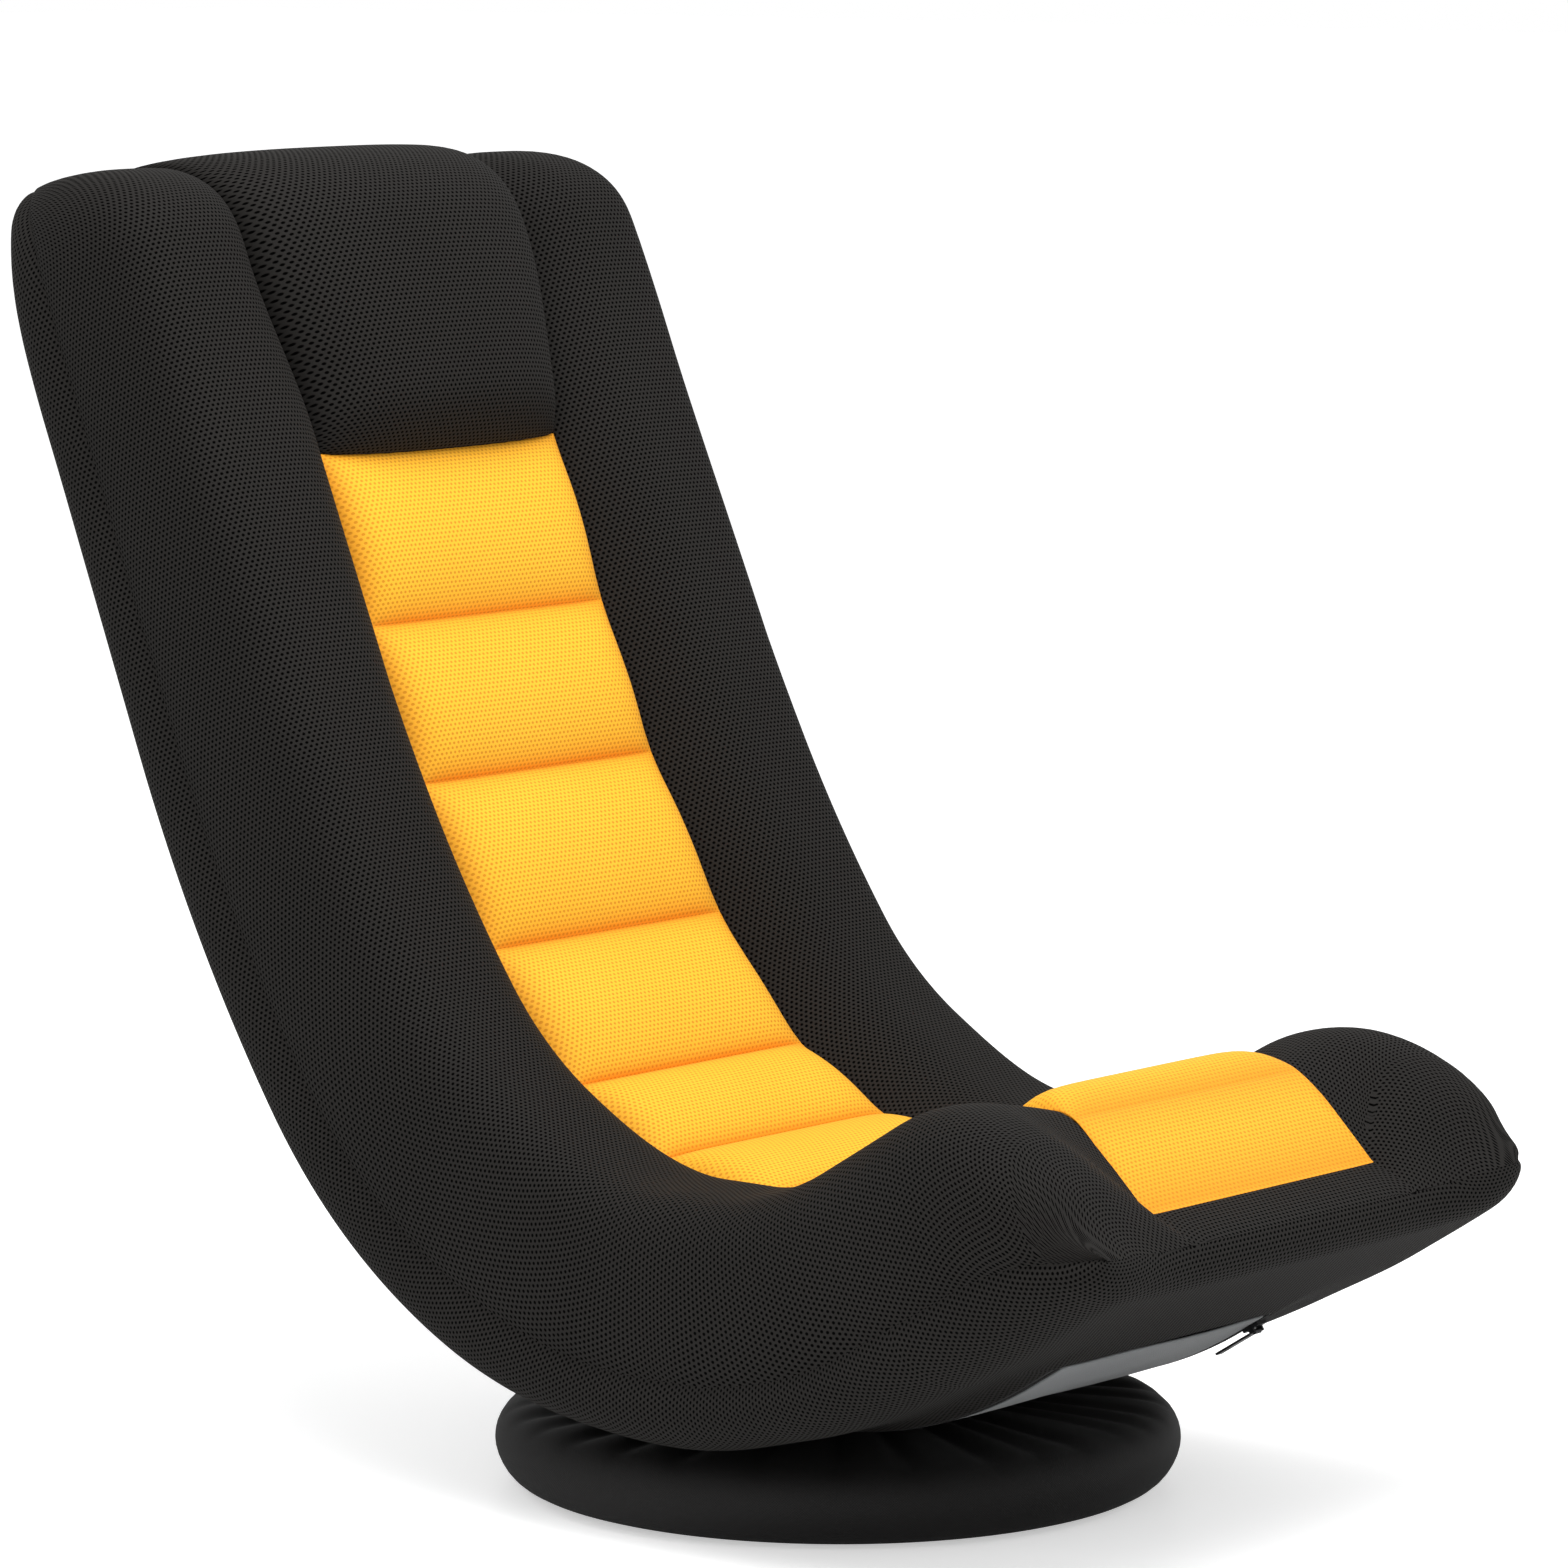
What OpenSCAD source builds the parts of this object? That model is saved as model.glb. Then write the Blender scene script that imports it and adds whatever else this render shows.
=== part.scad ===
// Swivel floor chair: a folded cushion on a steel frame with a ratchet hinge, over a round padded base.
// X is the width, the front faces -Y, Z is up, and the swivel axis meets the floor at the origin.

/* [Cushion] */
// Width across both side bolsters
cushion_w = 476; // [450:1:500]
// Width of the sewn centre insert
insert_w = 220; // [200:1:236]
// Thickness of the seat at its bolsters
seat_t = 156; // [146:1:166]
// Thickness of the back at its bolsters
back_t = 143; // [135:1:153]
// Depth of the insert's seams, measured from the underside, on the seat
seat_seam_d = 134; // [128:1:140]
// Depth of the insert's seams, measured from the rear face, on the back
back_seam_d = 115; // [111:1:119]
// How far a sewn channel stands proud of its seams
channel_puff = 15; // [6:1:18]
// How far the headrest pillow stands ahead of the bolsters
headrest_proud = 20; // [8:1:28]

/* [Side profile] */
// Height of the seat's underside above the floor
seat_h = 59; // [58:0.5:64]
// Length of the straight nose of the seat
nose_len = 173; // [160:1:190]
// Radius of the underside where the seat rises to its nose
front_r = 308; // [280:1:340]
// Angle of the nose above the floor
front_rise = 32; // [28:1:36]
// Flat length of the underside over the base
flat_len = 27; // [20:1:40]
// Distance from the swivel axis forward to where the rear bend starts
bend_start = 43; // [38:1:50]
// Radius of the underside through the bend from seat to back
bend_r = 380; // [360:1:400]
// Angle turned by the bend
bend_turn = 56; // [54:1:58]
// Radius of the lumbar curve above the bend
lumbar_r = 1105; // [1000:5:1300]
// Angle turned by the lumbar curve
lumbar_turn = 12.5; // [11:0.5:14]
// Length of the straight upper back
back_len = 375; // [360:1:400]

/* [Frame] */
// Outer diameter of the frame tube
tube_d = 19; // [17:0.5:21]
// Wall of the frame tube
tube_wall = 1.5; // [1.2:0.1:2.5]
// Distance between the two side rails, centre to centre
rail_gap = 300; // [290:1:310]
// Depth of the rails' centre line above the underside
rail_d = 65; // [62:1:68]
// Thickness of the hinge plates
plate_t = 4; // [3:0.5:5]
// Diameter of the hinge pins
pin_d = 8; // [6:0.5:10]
// Radius of the hinge plates round their pins
plate_r = 20; // [18:1:21]
// Width of the flat bars across the frame
bar_w = 25; // [20:1:30]
// Width of the webbing straps
strap_w = 30; // [24:1:36]

/* [Rear panel] */
// Half width of the grey panel, from the middle to its zips
panel_half = 98; // [80:1:99]
// Distance from the tip of the nose to the panel's front edge
panel_front = 148; // [146:1:152]
// Distance from the top of the back down to the panel's upper edge
panel_top_gap = 180; // [172:1:190]
// Length of the zip pulls
pull_len = 34; // [26:1:38]

/* [Base] */
// Overall diameter of the padded base
base_d = 426; // [410:1:440]
// Height of the base's cover at its middle
cover_h = 57; // [55:0.5:57]
// Width of the padding outside the base board
board_inset = 27; // [23:1:38]
// Thickness of the base board
board_t = 9; // [8:0.5:12]
// Height of the rubber feet
foot_h = 5; // [4:0.5:6]
// Diameter of the rubber feet
foot_d = 28; // [22:1:34]
// Gap between the feet and the edge of the base's cover
foot_gap = 2; // [1:0.5:8]
// Number of gathers in the base's cover
gathers = 36; // [24:1:40]
// Depth of the gathers
gather_depth = 5; // [2:0.5:6]

/* [Turntable] */
// Side of the square turntable plates
turn_w = 100; // [96:1:104]
// Thickness of the turntable plates
turn_t = 2; // [1.5:0.1:2.5]
// Diameter of the bearing balls
ball_d = 6; // [5:0.5:6.5]
// Radius of the ring of balls
race_r = 34; // [30:1:38]
// Number of bearing balls
balls = 20; // [12:1:24]

/* [Hidden] */
$fn = 48;

// Fits and clearances
clear = 0.3;
run_fit = 0.05;
over = 1;

// Places along the underside line, measured from the tip of the nose
front_len = front_r * front_rise * PI / 180;
bend_len = bend_r * bend_turn * PI / 180;
lumbar_len = lumbar_r * lumbar_turn * PI / 180;
s_nose = nose_len;
s_front = s_nose + front_len;
s_flat = s_front + flat_len;
s_bend = s_flat + bend_len;
s_lumbar = s_bend + lumbar_len;
s_top = s_lumbar + back_len;

// Seams across the insert, from the front end to the headrest, as shares of the underside line
seam_shares = [0.025, 0.040, 0.091, 0.182, 0.284, 0.383, 0.471, 0.576, 0.671, 0.754, 0.839];
seams = [for (share = seam_shares) share * s_top];
s_seat_end = seams[6];
s_back_start = seams[7];

function arc_from(p, r, a0, a1) = p + r * [sin(a1) - sin(a0), cos(a0) - cos(a1)];
function run_from(p, len, a) = p + len * [cos(a), sin(a)];
p_flat = [-bend_start, seat_h];
p_front = p_flat - [flat_len, 0];
p_nose = arc_from(p_front, front_r, 0, -front_rise);
p_bend = arc_from(p_flat, bend_r, 0, bend_turn);
a_back = bend_turn + lumbar_turn;
p_lumbar = arc_from(p_bend, lumbar_r, bend_turn, a_back);

// Slope of the underside line at s, and its point in the YZ plane
function slope(s) =
    s < s_nose ? -front_rise :
    s < s_front ? -(s_front - s) / front_r * 180 / PI :
    s < s_flat ? 0 :
    s < s_bend ? (s - s_flat) / bend_r * 180 / PI :
    s < s_lumbar ? bend_turn + (s - s_bend) / lumbar_r * 180 / PI : a_back;
function under(s) =
    s < s_nose ? run_from(p_nose, s - s_nose, -front_rise) :
    s < s_front ? arc_from(p_front, front_r, 0, slope(s)) :
    s < s_flat ? run_from(p_flat, s - s_flat, 0) :
    s < s_bend ? arc_from(p_flat, bend_r, 0, slope(s)) :
    s < s_lumbar ? arc_from(p_bend, lumbar_r, bend_turn, slope(s)) :
    run_from(p_lumbar, s - s_lumbar, a_back);
// The point at width x and depth d above the underside line
function at(s, x, d) = let (p = under(s), a = slope(s)) [x, p[0] - d * sin(a), p[1] + d * cos(a)];

// Rounding of the cushion's two ends
nose_round = 104;
top_round = 84;
end_lift = 20;
edge_round = 22;
side_round = 34;
side_round_len = 60;
top_side_round = 44;
top_side_len = 80;
round_power = 2.3;
nose_power = 2;
function clip(v) = min(1, max(0, v));
function eased(q, power) = pow(1 - pow(1 - clip(q), power), 1 / power);
function smooth(q) = let (v = clip(q)) v * v * (3 - 2 * v);
function nose_ease(s) = eased(s / nose_round, nose_power);
function top_ease(s) = eased((s_top - s) / top_round, round_power);
function mixed(a, b, t) = a + (b - a) * clip(t);
function body_t(s) = mixed(seat_t, back_t, (s - s_flat) / (s_lumbar - s_flat));
function seam_base(s) = mixed(seat_seam_d, back_seam_d, (s - s_flat) / (s_lumbar - s_flat));
function rise(depth, s) = end_lift + (depth - end_lift) * nose_ease(s) * top_ease(s);
function crest(s) = rise(body_t(s), s);
// The middle of the nose: a short strip up to the first seam, then a straight slope that bends into the seat
strip_setback = 14;
strip_len = seams[0] - strip_setback;
strip_power = 0.75;
front_edge_d = 50.5;
front_slope = 4.05;
front_bend_power = 6;
function front_rise(s) =
    (front_edge_d - end_lift) * pow(clip((s - strip_setback) / strip_len), strip_power)
    + front_slope * max(0, s - seams[0]);
function middle_ease(s) =
    let (line = front_rise(s) / (seat_seam_d - end_lift))
        line / pow(1 + pow(line, front_bend_power), 1 / front_bend_power);
function seam_d(s) = end_lift + (seam_base(s) - end_lift) * middle_ease(s) * top_ease(s);
function lift(s) = end_lift * (1 - eased(min(s, s_top - s) / edge_round, 2));
function half_w(s) =
    cushion_w / 2 - side_round * (1 - eased(s / side_round_len, 2))
    - top_side_round * (1 - eased((s_top - s) / top_side_len, 2));

// Layers through the cushion
rail_x = rail_gap / 2;
tube_r = tube_d / 2;
strap_t = 1.6;
layer_gap = 3;
frame_room = tube_r + strap_t + layer_gap;
frame_lo = rail_d - frame_room;
frame_hi = rail_d + frame_room;
panel_t = 2;
foam_gap = 2 * clear;
insert_x = insert_w / 2;

// Hinge and frame stations
hinge_d = 105;
hinge_clear = 5;
hinge_room = plate_r + hinge_clear;
plate_grip = 40;
seat_arm_len = 46;
back_arm_len = 24;
front_tube_in = 95;
top_tube_in = 90;
s_seat_rail_end = s_bend - seat_arm_len;
s_back_rail_start = s_bend + back_arm_len;
s_rail_front = nose_len - front_tube_in;
s_rail_top = s_top - top_tube_in;
pocket_ramp = 6;
s_pocket_a = s_seat_rail_end - plate_grip - pocket_ramp;
s_pocket_b = s_back_rail_start + plate_grip + pocket_ramp;

// Stations along the cushion, closer together where it rounds or turns
end_shares = [0.02, 0.08, 0.2, 0.4, 0.7];
marks = concat(
    [for (q = end_shares) q * nose_round],
    [for (i = [0 : 3]) s_nose + i * front_len / 4],
    [s_front],
    [for (i = [0 : 4]) s_flat + i * bend_len / 7],
    [s_pocket_a, s_pocket_a + pocket_ramp, s_bend],
    [s_pocket_b - pocket_ramp, s_pocket_b],
    [for (i = [1 : 3]) s_bend + i * lumbar_len / 3],
    [s_lumbar + back_len / 2],
    [for (i = [4 : -1 : 0]) s_top - end_shares[i] * top_round]
);
min_step = 3;
function between(a, b) = concat([a], [for (s = marks) if (s > a + min_step && s < b - min_step) s], [b]);
s_tip = end_shares[0] * nose_round;
s_crown = s_top - end_shares[0] * top_round;

// Loft of closed rings that all have the same number of points, with the caps given as triangles
module loft(rings, cap) {
    m = len(rings[0]);
    n = len(rings);
    sides = [
        for (i = [0 : n - 2], j = [0 : m - 1])
            let (a = i * m + j, b = i * m + (j + 1) % m, c = a + m, d = b + m)
                each [[a, c, b], [b, c, d]]
    ];
    last = [for (t = cap) [for (k = [2 : -1 : 0]) t[k] + (n - 1) * m]];
    polyhedron(points = [for (r = rings, p = r) p], faces = concat(cap, sides, last), convexity = 8);
}
// Cap of a ring whose last point sees all the others
function fan_cap(m) = [for (j = [0 : m - 3]) [j, j + 1, m - 1]];
function slab_ring(s, x0, x1, low, high) =
    [at(s, x0, low), at(s, x0, high), at(s, x1, high), at(s, x1, low)];
module slab(rings) loft(rings, fan_cap(4));
module on_left() mirror([1, 0, 0]) children();
module on_both() {
    children();
    on_left() children();
}

// Side bolsters: a rounded roll with a pocket on its inner side for the rails and the hinge
nose_roll_power = 2.6;
roll_power = 4.5;
top_roll_power = 3.2;
roll_in = 100;
roll_rise = 300;
roll_fall = 140;
function roll_at(s) =
    mixed(
        mixed(nose_roll_power, roll_power, smooth((s - roll_in) / roll_rise)),
        top_roll_power, smooth(1 - (s_top - s) / roll_fall)
    );
inner_reach = 1.2;
inner_share = 0.83;
function roll_inner(power) = 180 - acos(pow(1 / inner_reach, power / 2));
roll_angles = [116, 90, 66, 46, 26, 0, -26, -46, -66, -90];
bolster_cap = [
    [0, 1, 15], [1, 2, 15], [2, 14, 15], [2, 3, 14], [3, 4, 14], [4, 5, 14], [5, 6, 14],
    [6, 13, 14], [6, 7, 13], [7, 8, 13], [8, 9, 13], [9, 10, 13], [10, 12, 13], [10, 11, 12]
];
bolster_x = insert_x + clear;
pocket_x = rail_x + frame_room;
slit = 2;
pocket_from = end_shares[3] * nose_round - over;
pocket_to = s_top - end_shares[3] * top_round + over;
function power_of(v, e) = sign(v) * pow(abs(v), e);
function in_hinge(s) = s > s_pocket_a + pocket_ramp / 2 && s < s_pocket_b - pocket_ramp / 2;
function has_rail(s) = s > pocket_from && s < pocket_to;
function middle(s) = (lift(s) + crest(s)) / 2;
function pocket_lo(s) = has_rail(s) ? frame_lo : middle(s) - slit / 2;
function pocket_hi(s) = in_hinge(s) ? hinge_d + hinge_room : has_rail(s) ? frame_hi : middle(s) + slit / 2;
function pocket_in(s) = min(pocket_hi(s), inner_share * crest(s));
function pocket_out(s) = has_rail(s) ? pocket_x : bolster_x + slit;
function bolster_ring(s) =
    let (
        mid = (bolster_x + half_w(s)) / 2,
        wide = (half_w(s) - bolster_x) / 2,
        tall = (crest(s) - lift(s)) / 2,
        power = roll_at(s),
        roll = [
            for (t = concat([roll_inner(power)], roll_angles))
                let (reach = t > 90 ? wide * inner_reach : wide, e = 2 / power)
                    [mid + reach * power_of(cos(t), e), middle(s) + tall * power_of(sin(t), e)]
        ],
        lo = pocket_lo(s), hi = pocket_hi(s), out = pocket_out(s),
        pocket = [[bolster_x, lift(s)], [bolster_x, lo], [out, lo], [out, hi], [bolster_x, pocket_in(s)]],
        flat = concat(roll, pocket)
    )
    [for (q = flat) at(s, q[0], q[1])];
module bolster(a, b) color([0.17, 0.16, 0.15]) loft([for (s = between(a, b)) bolster_ring(s)], bolster_cap);
module seat_bolster_right() bolster(s_tip, s_seat_end - clear);
module seat_bolster_left() on_left() bolster(s_tip, s_seat_end - clear);
module bend_bolsters() on_both() bolster(s_seat_end, s_back_start - clear);
module back_bolster_right() bolster(s_back_start, s_crown);
module back_bolster_left() on_left() bolster(s_back_start, s_crown);

// Sewn insert: crowned channels between its seams
insert_t = 20;
insert_taper = 40;
front_share = 0.1;
row_shares = [-1, -0.92, -0.6, 0, 0.6, 0.92, 1];
step_shares = [0, 0.1, 0.3, 0.7, 0.9];
puff_power = 0.5;
edge_power = 6;
function insert_lo(s) = seam_d(s) - insert_t * mixed(front_share, 1, (s - seams[0]) / insert_taper);
function puffed(s, tau, u) =
    let (puff = channel_puff * middle_ease(s) * pow(sin(180 * tau), puff_power))
        seam_d(s) + puff * (1 - pow(abs(u), edge_power));
function channel_ring(s, tau) = concat(
    [at(s, -insert_x, insert_lo(s))],
    [for (u = row_shares) at(s, u * insert_x, puffed(s, tau, u))],
    [at(s, insert_x, insert_lo(s))]
);
// Channels from seam a to seam b, ending a hair short of the next piece
module channels(a, b) color([1, 0.72, 0.16]) loft(
    concat(
        [for (k = [a : b - 1], q = step_shares) channel_ring(mixed(seams[k], seams[k + 1], q), q)],
        [channel_ring(seams[b] - clear, 0)]
    ),
    fan_cap(len(row_shares) + 2)
);
module seat_insert() channels(0, 6);
module bend_insert() channels(6, 7);
module back_insert() channels(7, 10);

// Foam above and below the layer that holds the frame
s_foam_front = mixed(seams[1], seams[2], step_shares[1]);
s_foam_top = s_top - end_shares[3] * top_round;
function foam_hi(s) = insert_lo(s) - foam_gap;
channel_marks = [for (k = [0 : len(seams) - 2], q = step_shares) mixed(seams[k], seams[k + 1], q)];
function foam_between(a, b) =
    concat([a], [for (s = channel_marks) if (s > a + over && s < b - over) s], [b]);
module top_foam(a, b) color("gainsboro")
    slab([for (s = foam_between(a, b)) slab_ring(s, -insert_x, insert_x, frame_hi, foam_hi(s))]);
module low_foam(a, b) color("gainsboro")
    slab([for (s = between(a, b)) slab_ring(s, -insert_x, insert_x, panel_t + clear, frame_lo)]);
opening_w = 124;
module mount_opening()
    translate([-opening_w / 2, -opening_w / 2, 0]) cube([opening_w, opening_w, seat_h + seat_t]);
module seat_foam() top_foam(s_foam_front, s_seat_end - clear);
module seat_base_foam() color("gainsboro") difference() {
    low_foam(s_foam_front, s_seat_end - clear);
    mount_opening();
}
module bend_foam() {
    top_foam(s_seat_end, s_back_start - clear);
    low_foam(s_seat_end, s_back_start - clear);
}
module back_foam() top_foam(s_back_start, s_foam_top);
module back_base_foam() low_foam(s_back_start, s_foam_top);

// Front strip of the cover across the nose, rolled under the front end of the insert
function nose_top(s) = s < seams[0] ? seam_d(s) : foam_hi(s);
nose_stations = concat(
    [strip_setback + over, strip_setback + strip_len / 2, seams[0] - clear],
    [for (q = step_shares) mixed(seams[0], seams[1], q)],
    [seams[1], s_foam_front - clear]
);
module seat_nose() color([0.17, 0.16, 0.15])
    slab([for (s = nose_stations) slab_ring(s, -insert_x, insert_x, lift(s), nose_top(s))]);

// Headrest pillow between the bolsters, closing the top end
s_head = seams[10] + clear;
head_rise_len = 42;
head_shares = [0, 0.02, 0.06, 0.14, 0.4];
head_rows = [-1, -0.95, -0.78, -0.45, 0, 0.45, 0.78, 0.95, 1];
head_power = 4;
function head_full(s) = eased((s - s_head + over) / head_rise_len, round_power);
function head_bump(s) =
    headrest_proud * pow(sin(180 * clip((s - s_head + over) / (s_top - s_head + 2 * over))), puff_power);
function head_top(s) = seam_d(s) + (crest(s) + head_bump(s) - seam_d(s)) * head_full(s);
function head_lo(s) = s < s_foam_top + clear ? insert_lo(s) : lift(s);
function head_ring(s) = concat(
    [at(s, -insert_x, head_lo(s))],
    [
        for (u = head_rows)
            at(s, u * insert_x, seam_d(s) + (head_top(s) - seam_d(s)) * sqrt(1 - pow(abs(u), head_power)))
    ],
    [at(s, insert_x, head_lo(s))]
);
head_stations = concat(
    [for (q = head_shares) s_head + q * (s_top - s_head)],
    [s_top - end_shares[4] * top_round, s_foam_top + clear / 2, s_foam_top + 2 * clear],
    [s_top - end_shares[2] * top_round],
    [s_top - end_shares[1] * top_round, s_crown]
);
module headrest_pillow() color([0.17, 0.16, 0.15])
    loft([for (s = head_stations) head_ring(s)], fan_cap(len(head_rows) + 2));

// Grey panel under the seat and up the rear face, with a zip on each side
s_panel_end = s_top - panel_top_gap;
zip_w = 10;
zip_in = panel_half + clear;
zip_x = zip_in + zip_w / 2;
module panel(a, b) color([0.56, 0.6, 0.62])
    slab([for (s = between(a, b)) slab_ring(s, -panel_half, panel_half, 0, panel_t)]);
module zips(a, b) color([0.06, 0.06, 0.06]) on_both()
    slab([for (s = between(a, b)) slab_ring(s, zip_in, zip_in + zip_w, 0, panel_t)]);
module seat_panel() color([0.56, 0.6, 0.62]) difference() {
    panel(panel_front, s_seat_end - clear);
    mount_opening();
}
module bend_panel() panel(s_seat_end, s_back_start - clear);
module back_panel() panel(s_back_start, s_panel_end);
module seat_zips() zips(panel_front, s_seat_end - clear);
module bend_zips() zips(s_seat_end, s_back_start - clear);
module back_zips() zips(s_back_start, s_panel_end);

// Zip sliders and their pulls, lying along the zip
slider_l = 13;
slider_w = 9;
slider_t = 2.2;
lug_t = 1.5;
lug_l = 4;
pull_w = 6;
pull_t = 1.4;
pull_pin_r = 0.8;
eye_r = 1.7;
pull_d = clear + slider_t + eye_r + clear;
window_l = 5;
window_w = 2.6;
module on_zip(s, turn) translate(at(s, zip_x, 0)) rotate([slope(s) + turn, 0, 0]) children();
module across(r, w) translate([-w / 2, 0, 0]) rotate([0, 90, 0]) cylinder(r = r, h = w);
module zip_slider() color([0.1, 0.1, 0.1]) {
    lug_x = pull_w / 2 + 2 * clear;
    translate([-slider_w / 2, -slider_l / 2, -clear - slider_t]) cube([slider_w, slider_l, slider_t]);
    for (side = [-1, 1])
        translate([side * (lug_x + lug_t / 2) - lug_t / 2, -lug_l / 2, -pull_d - pull_pin_r])
            cube([lug_t, lug_l, pull_d + pull_pin_r - clear - slider_t]);
    translate([0, 0, -pull_d]) across(pull_pin_r, 2 * (lug_x + lug_t));
}
module zip_pull() color([0.1, 0.1, 0.1]) translate([0, 0, -pull_d]) difference() {
    union() {
        across(eye_r, pull_w);
        translate([-pull_w / 2, 0, -pull_t / 2]) cube([pull_w, pull_len, pull_t]);
    }
    across(pull_pin_r + run_fit, pull_w + 2 * over);
    translate([-window_w / 2, pull_len - 2 * window_l, -pull_t]) cube([window_w, window_l, 2 * pull_t]);
}
s_slider_seat = panel_front + slider_l;
s_slider_back = s_panel_end - slider_l;
module seat_zip_slider() on_zip(s_slider_seat, 0) zip_slider();
module seat_zip_pull() on_zip(s_slider_seat, 0) zip_pull();
module back_zip_slider() on_zip(s_slider_back, 0) mirror([0, 1, 0]) zip_slider();
module back_zip_pull() on_zip(s_slider_back, 0) mirror([0, 1, 0]) zip_pull();

// Side plane: drawn as (Y, Z), extruded towards +X from x
module in_side(x) translate([x, 0, 0]) rotate([90, 0, 90]) children();
module link(p, q, w, t) {
    v = q - p;
    translate([p[0], p[1], 0]) rotate([0, 0, atan2(v[1], v[0])])
        translate([0, -w / 2, 0]) cube([norm(v), w, t]);
}
function side_of(s, d) = let (q = at(s, 0, d)) [q[1], q[2]];

// Rails and cross tubes
rail_sides = 12;
function rail_ring(s, r) = [
    for (j = [0 : rail_sides - 1])
        let (a = 360 * j / rail_sides) at(s, rail_x + r * cos(a), rail_d - r * sin(a))
];
rail_step = 30;
module rail(a, b, r) {
    n = ceil((b - a) / rail_step);
    loft([for (i = [0 : n]) rail_ring(mixed(a, b, i / n), r)], fan_cap(rail_sides));
}
module seat_rail(r) rail(s_rail_front, s_seat_rail_end, r);
module back_rail(r) rail(s_back_rail_start, s_rail_top, r);
module cross_tube(s, r, length) translate(at(s, 0, rail_d)) across(r, length);
tube_span = rail_gap + tube_d;
module hollow_tube(s) difference() {
    cross_tube(s, tube_r, tube_span);
    cross_tube(s, tube_r - tube_wall, tube_span + 2 * over);
}
module seat_front_tube() color([0.12, 0.12, 0.13]) hollow_tube(s_rail_front);
module back_top_tube() color([0.12, 0.12, 0.13]) hollow_tube(s_rail_top);
module seat_rails() color([0.12, 0.12, 0.13]) on_both() difference() {
    seat_rail(tube_r);
    rail(s_rail_front, s_seat_rail_end + over, tube_r - tube_wall);
    cross_tube(s_rail_front, tube_r, tube_span);
    seat_arm();
}
module back_rails() color([0.12, 0.12, 0.13]) on_both() difference() {
    back_rail(tube_r);
    rail(s_back_rail_start - over, s_rail_top, tube_r - tube_wall);
    cross_tube(s_rail_top, tube_r, tube_span);
    back_arm();
}
bar_t = 10;
mount_leg = 40;
function s_under(y) = s_flat + bend_r * asin((y + bend_start) / (bend_r - rail_d)) * PI / 180;
s_bars = [s_under(-mount_leg), s_under(mount_leg)];
back_bar_shares = [0.16, 0.75];
module flat_bar(s) translate(at(s, 0, rail_d)) rotate([slope(s), 0, 0])
    translate([-rail_x, -bar_w / 2, -bar_t / 2]) cube([rail_gap, bar_w, bar_t]);
module seat_cross_bars() color([0.12, 0.12, 0.13]) difference() {
    for (s = s_bars)
        flat_bar(s);
    on_both() seat_rail(tube_r);
}
module back_cross_bars() color([0.12, 0.12, 0.13]) difference() {
    for (q = back_bar_shares)
        flat_bar(mixed(s_bend, s_top, q));
    on_both() back_rail(tube_r);
}

// Webbing bands stretched round both rails
band_gap = 0.9;
band_in = tube_r + band_gap;
band_out = band_in + strap_t;
module band_loop(r, w) {
    translate([-rail_x, -w / 2, -r]) cube([rail_gap, w, 2 * r]);
    for (side = [-1, 1])
        translate([side * rail_x, w / 2, 0]) rotate([90, 0, 0]) cylinder(r = r, h = w);
}
module strap(s) translate(at(s, 0, rail_d)) rotate([slope(s), 0, 0]) difference() {
    band_loop(band_out, strap_w);
    band_loop(band_in, strap_w + 2 * over);
}
seat_strap_shares = [0.17, 0.3, 0.41, 0.77];
back_strap_shares = [0.26, 0.39, 0.52, 0.64];
module seat_straps() color([0.2, 0.2, 0.2]) for (q = seat_strap_shares)
    strap(q * s_bend);
module back_straps() color([0.2, 0.2, 0.2]) for (q = back_strap_shares)
    strap(mixed(s_bend, s_top, q));

// Ratchet hinge on each side, in the plane of the rails
hinge = side_of(s_bend, hinge_d);
plate_w = 16;
plate_gap = 1;
pawl_far = 31;
pawl_angle = -110;
pawl_at = hinge + pawl_far * [cos(pawl_angle), sin(pawl_angle)];
pawl_pin_r = 3;
pawl_boss_r = 7;
seat_root = side_of(s_seat_rail_end - plate_grip, rail_d);
back_root = side_of(s_back_rail_start + plate_grip, rail_d);
x_out = rail_x + plate_gap / 2;
x_in = rail_x - plate_gap / 2 - plate_t;
module disc(p, r, t) translate([p[0], p[1], 0]) cylinder(r = r, h = t);
arm_w = 25;
function beside(p, q, w) = let (v = (q - p) / norm(q - p)) w / 2 * [-v[1], v[0]];
arm_knee = hinge + (seat_root - hinge) * pawl_far / norm(seat_root - hinge);
arm_wide = beside(hinge, seat_root, arm_w);
arm_slim = beside(hinge, seat_root, plate_w);
module seat_arm() in_side(x_out) linear_extrude(plate_t) polygon([
    hinge - arm_wide, arm_knee - arm_wide, seat_root - arm_slim,
    seat_root + arm_slim, arm_knee + arm_wide, hinge + arm_wide
]);
module hinge_plates_seat() color([0.75, 0.76, 0.78]) on_both() difference() {
    union() {
        seat_arm();
        in_side(x_out) disc(hinge, plate_r, plate_t);
    }
    in_side(x_out - over) {
        disc(hinge, pin_d / 2, plate_t + 2 * over);
        disc(pawl_at, pawl_pin_r, plate_t + 2 * over);
    }
}
teeth = 24;
tooth_depth = 2.5;
tooth_lean = 0.7;
tooth_tips = [
    for (k = [0 : teeth - 1], q = [0, 1])
        let (a = (k + q * tooth_lean) * 360 / teeth, r = plate_r - q * tooth_depth) r * [cos(a), sin(a)]
];
module back_arm() in_side(x_in) link(hinge, back_root, plate_w, plate_t);
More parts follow.
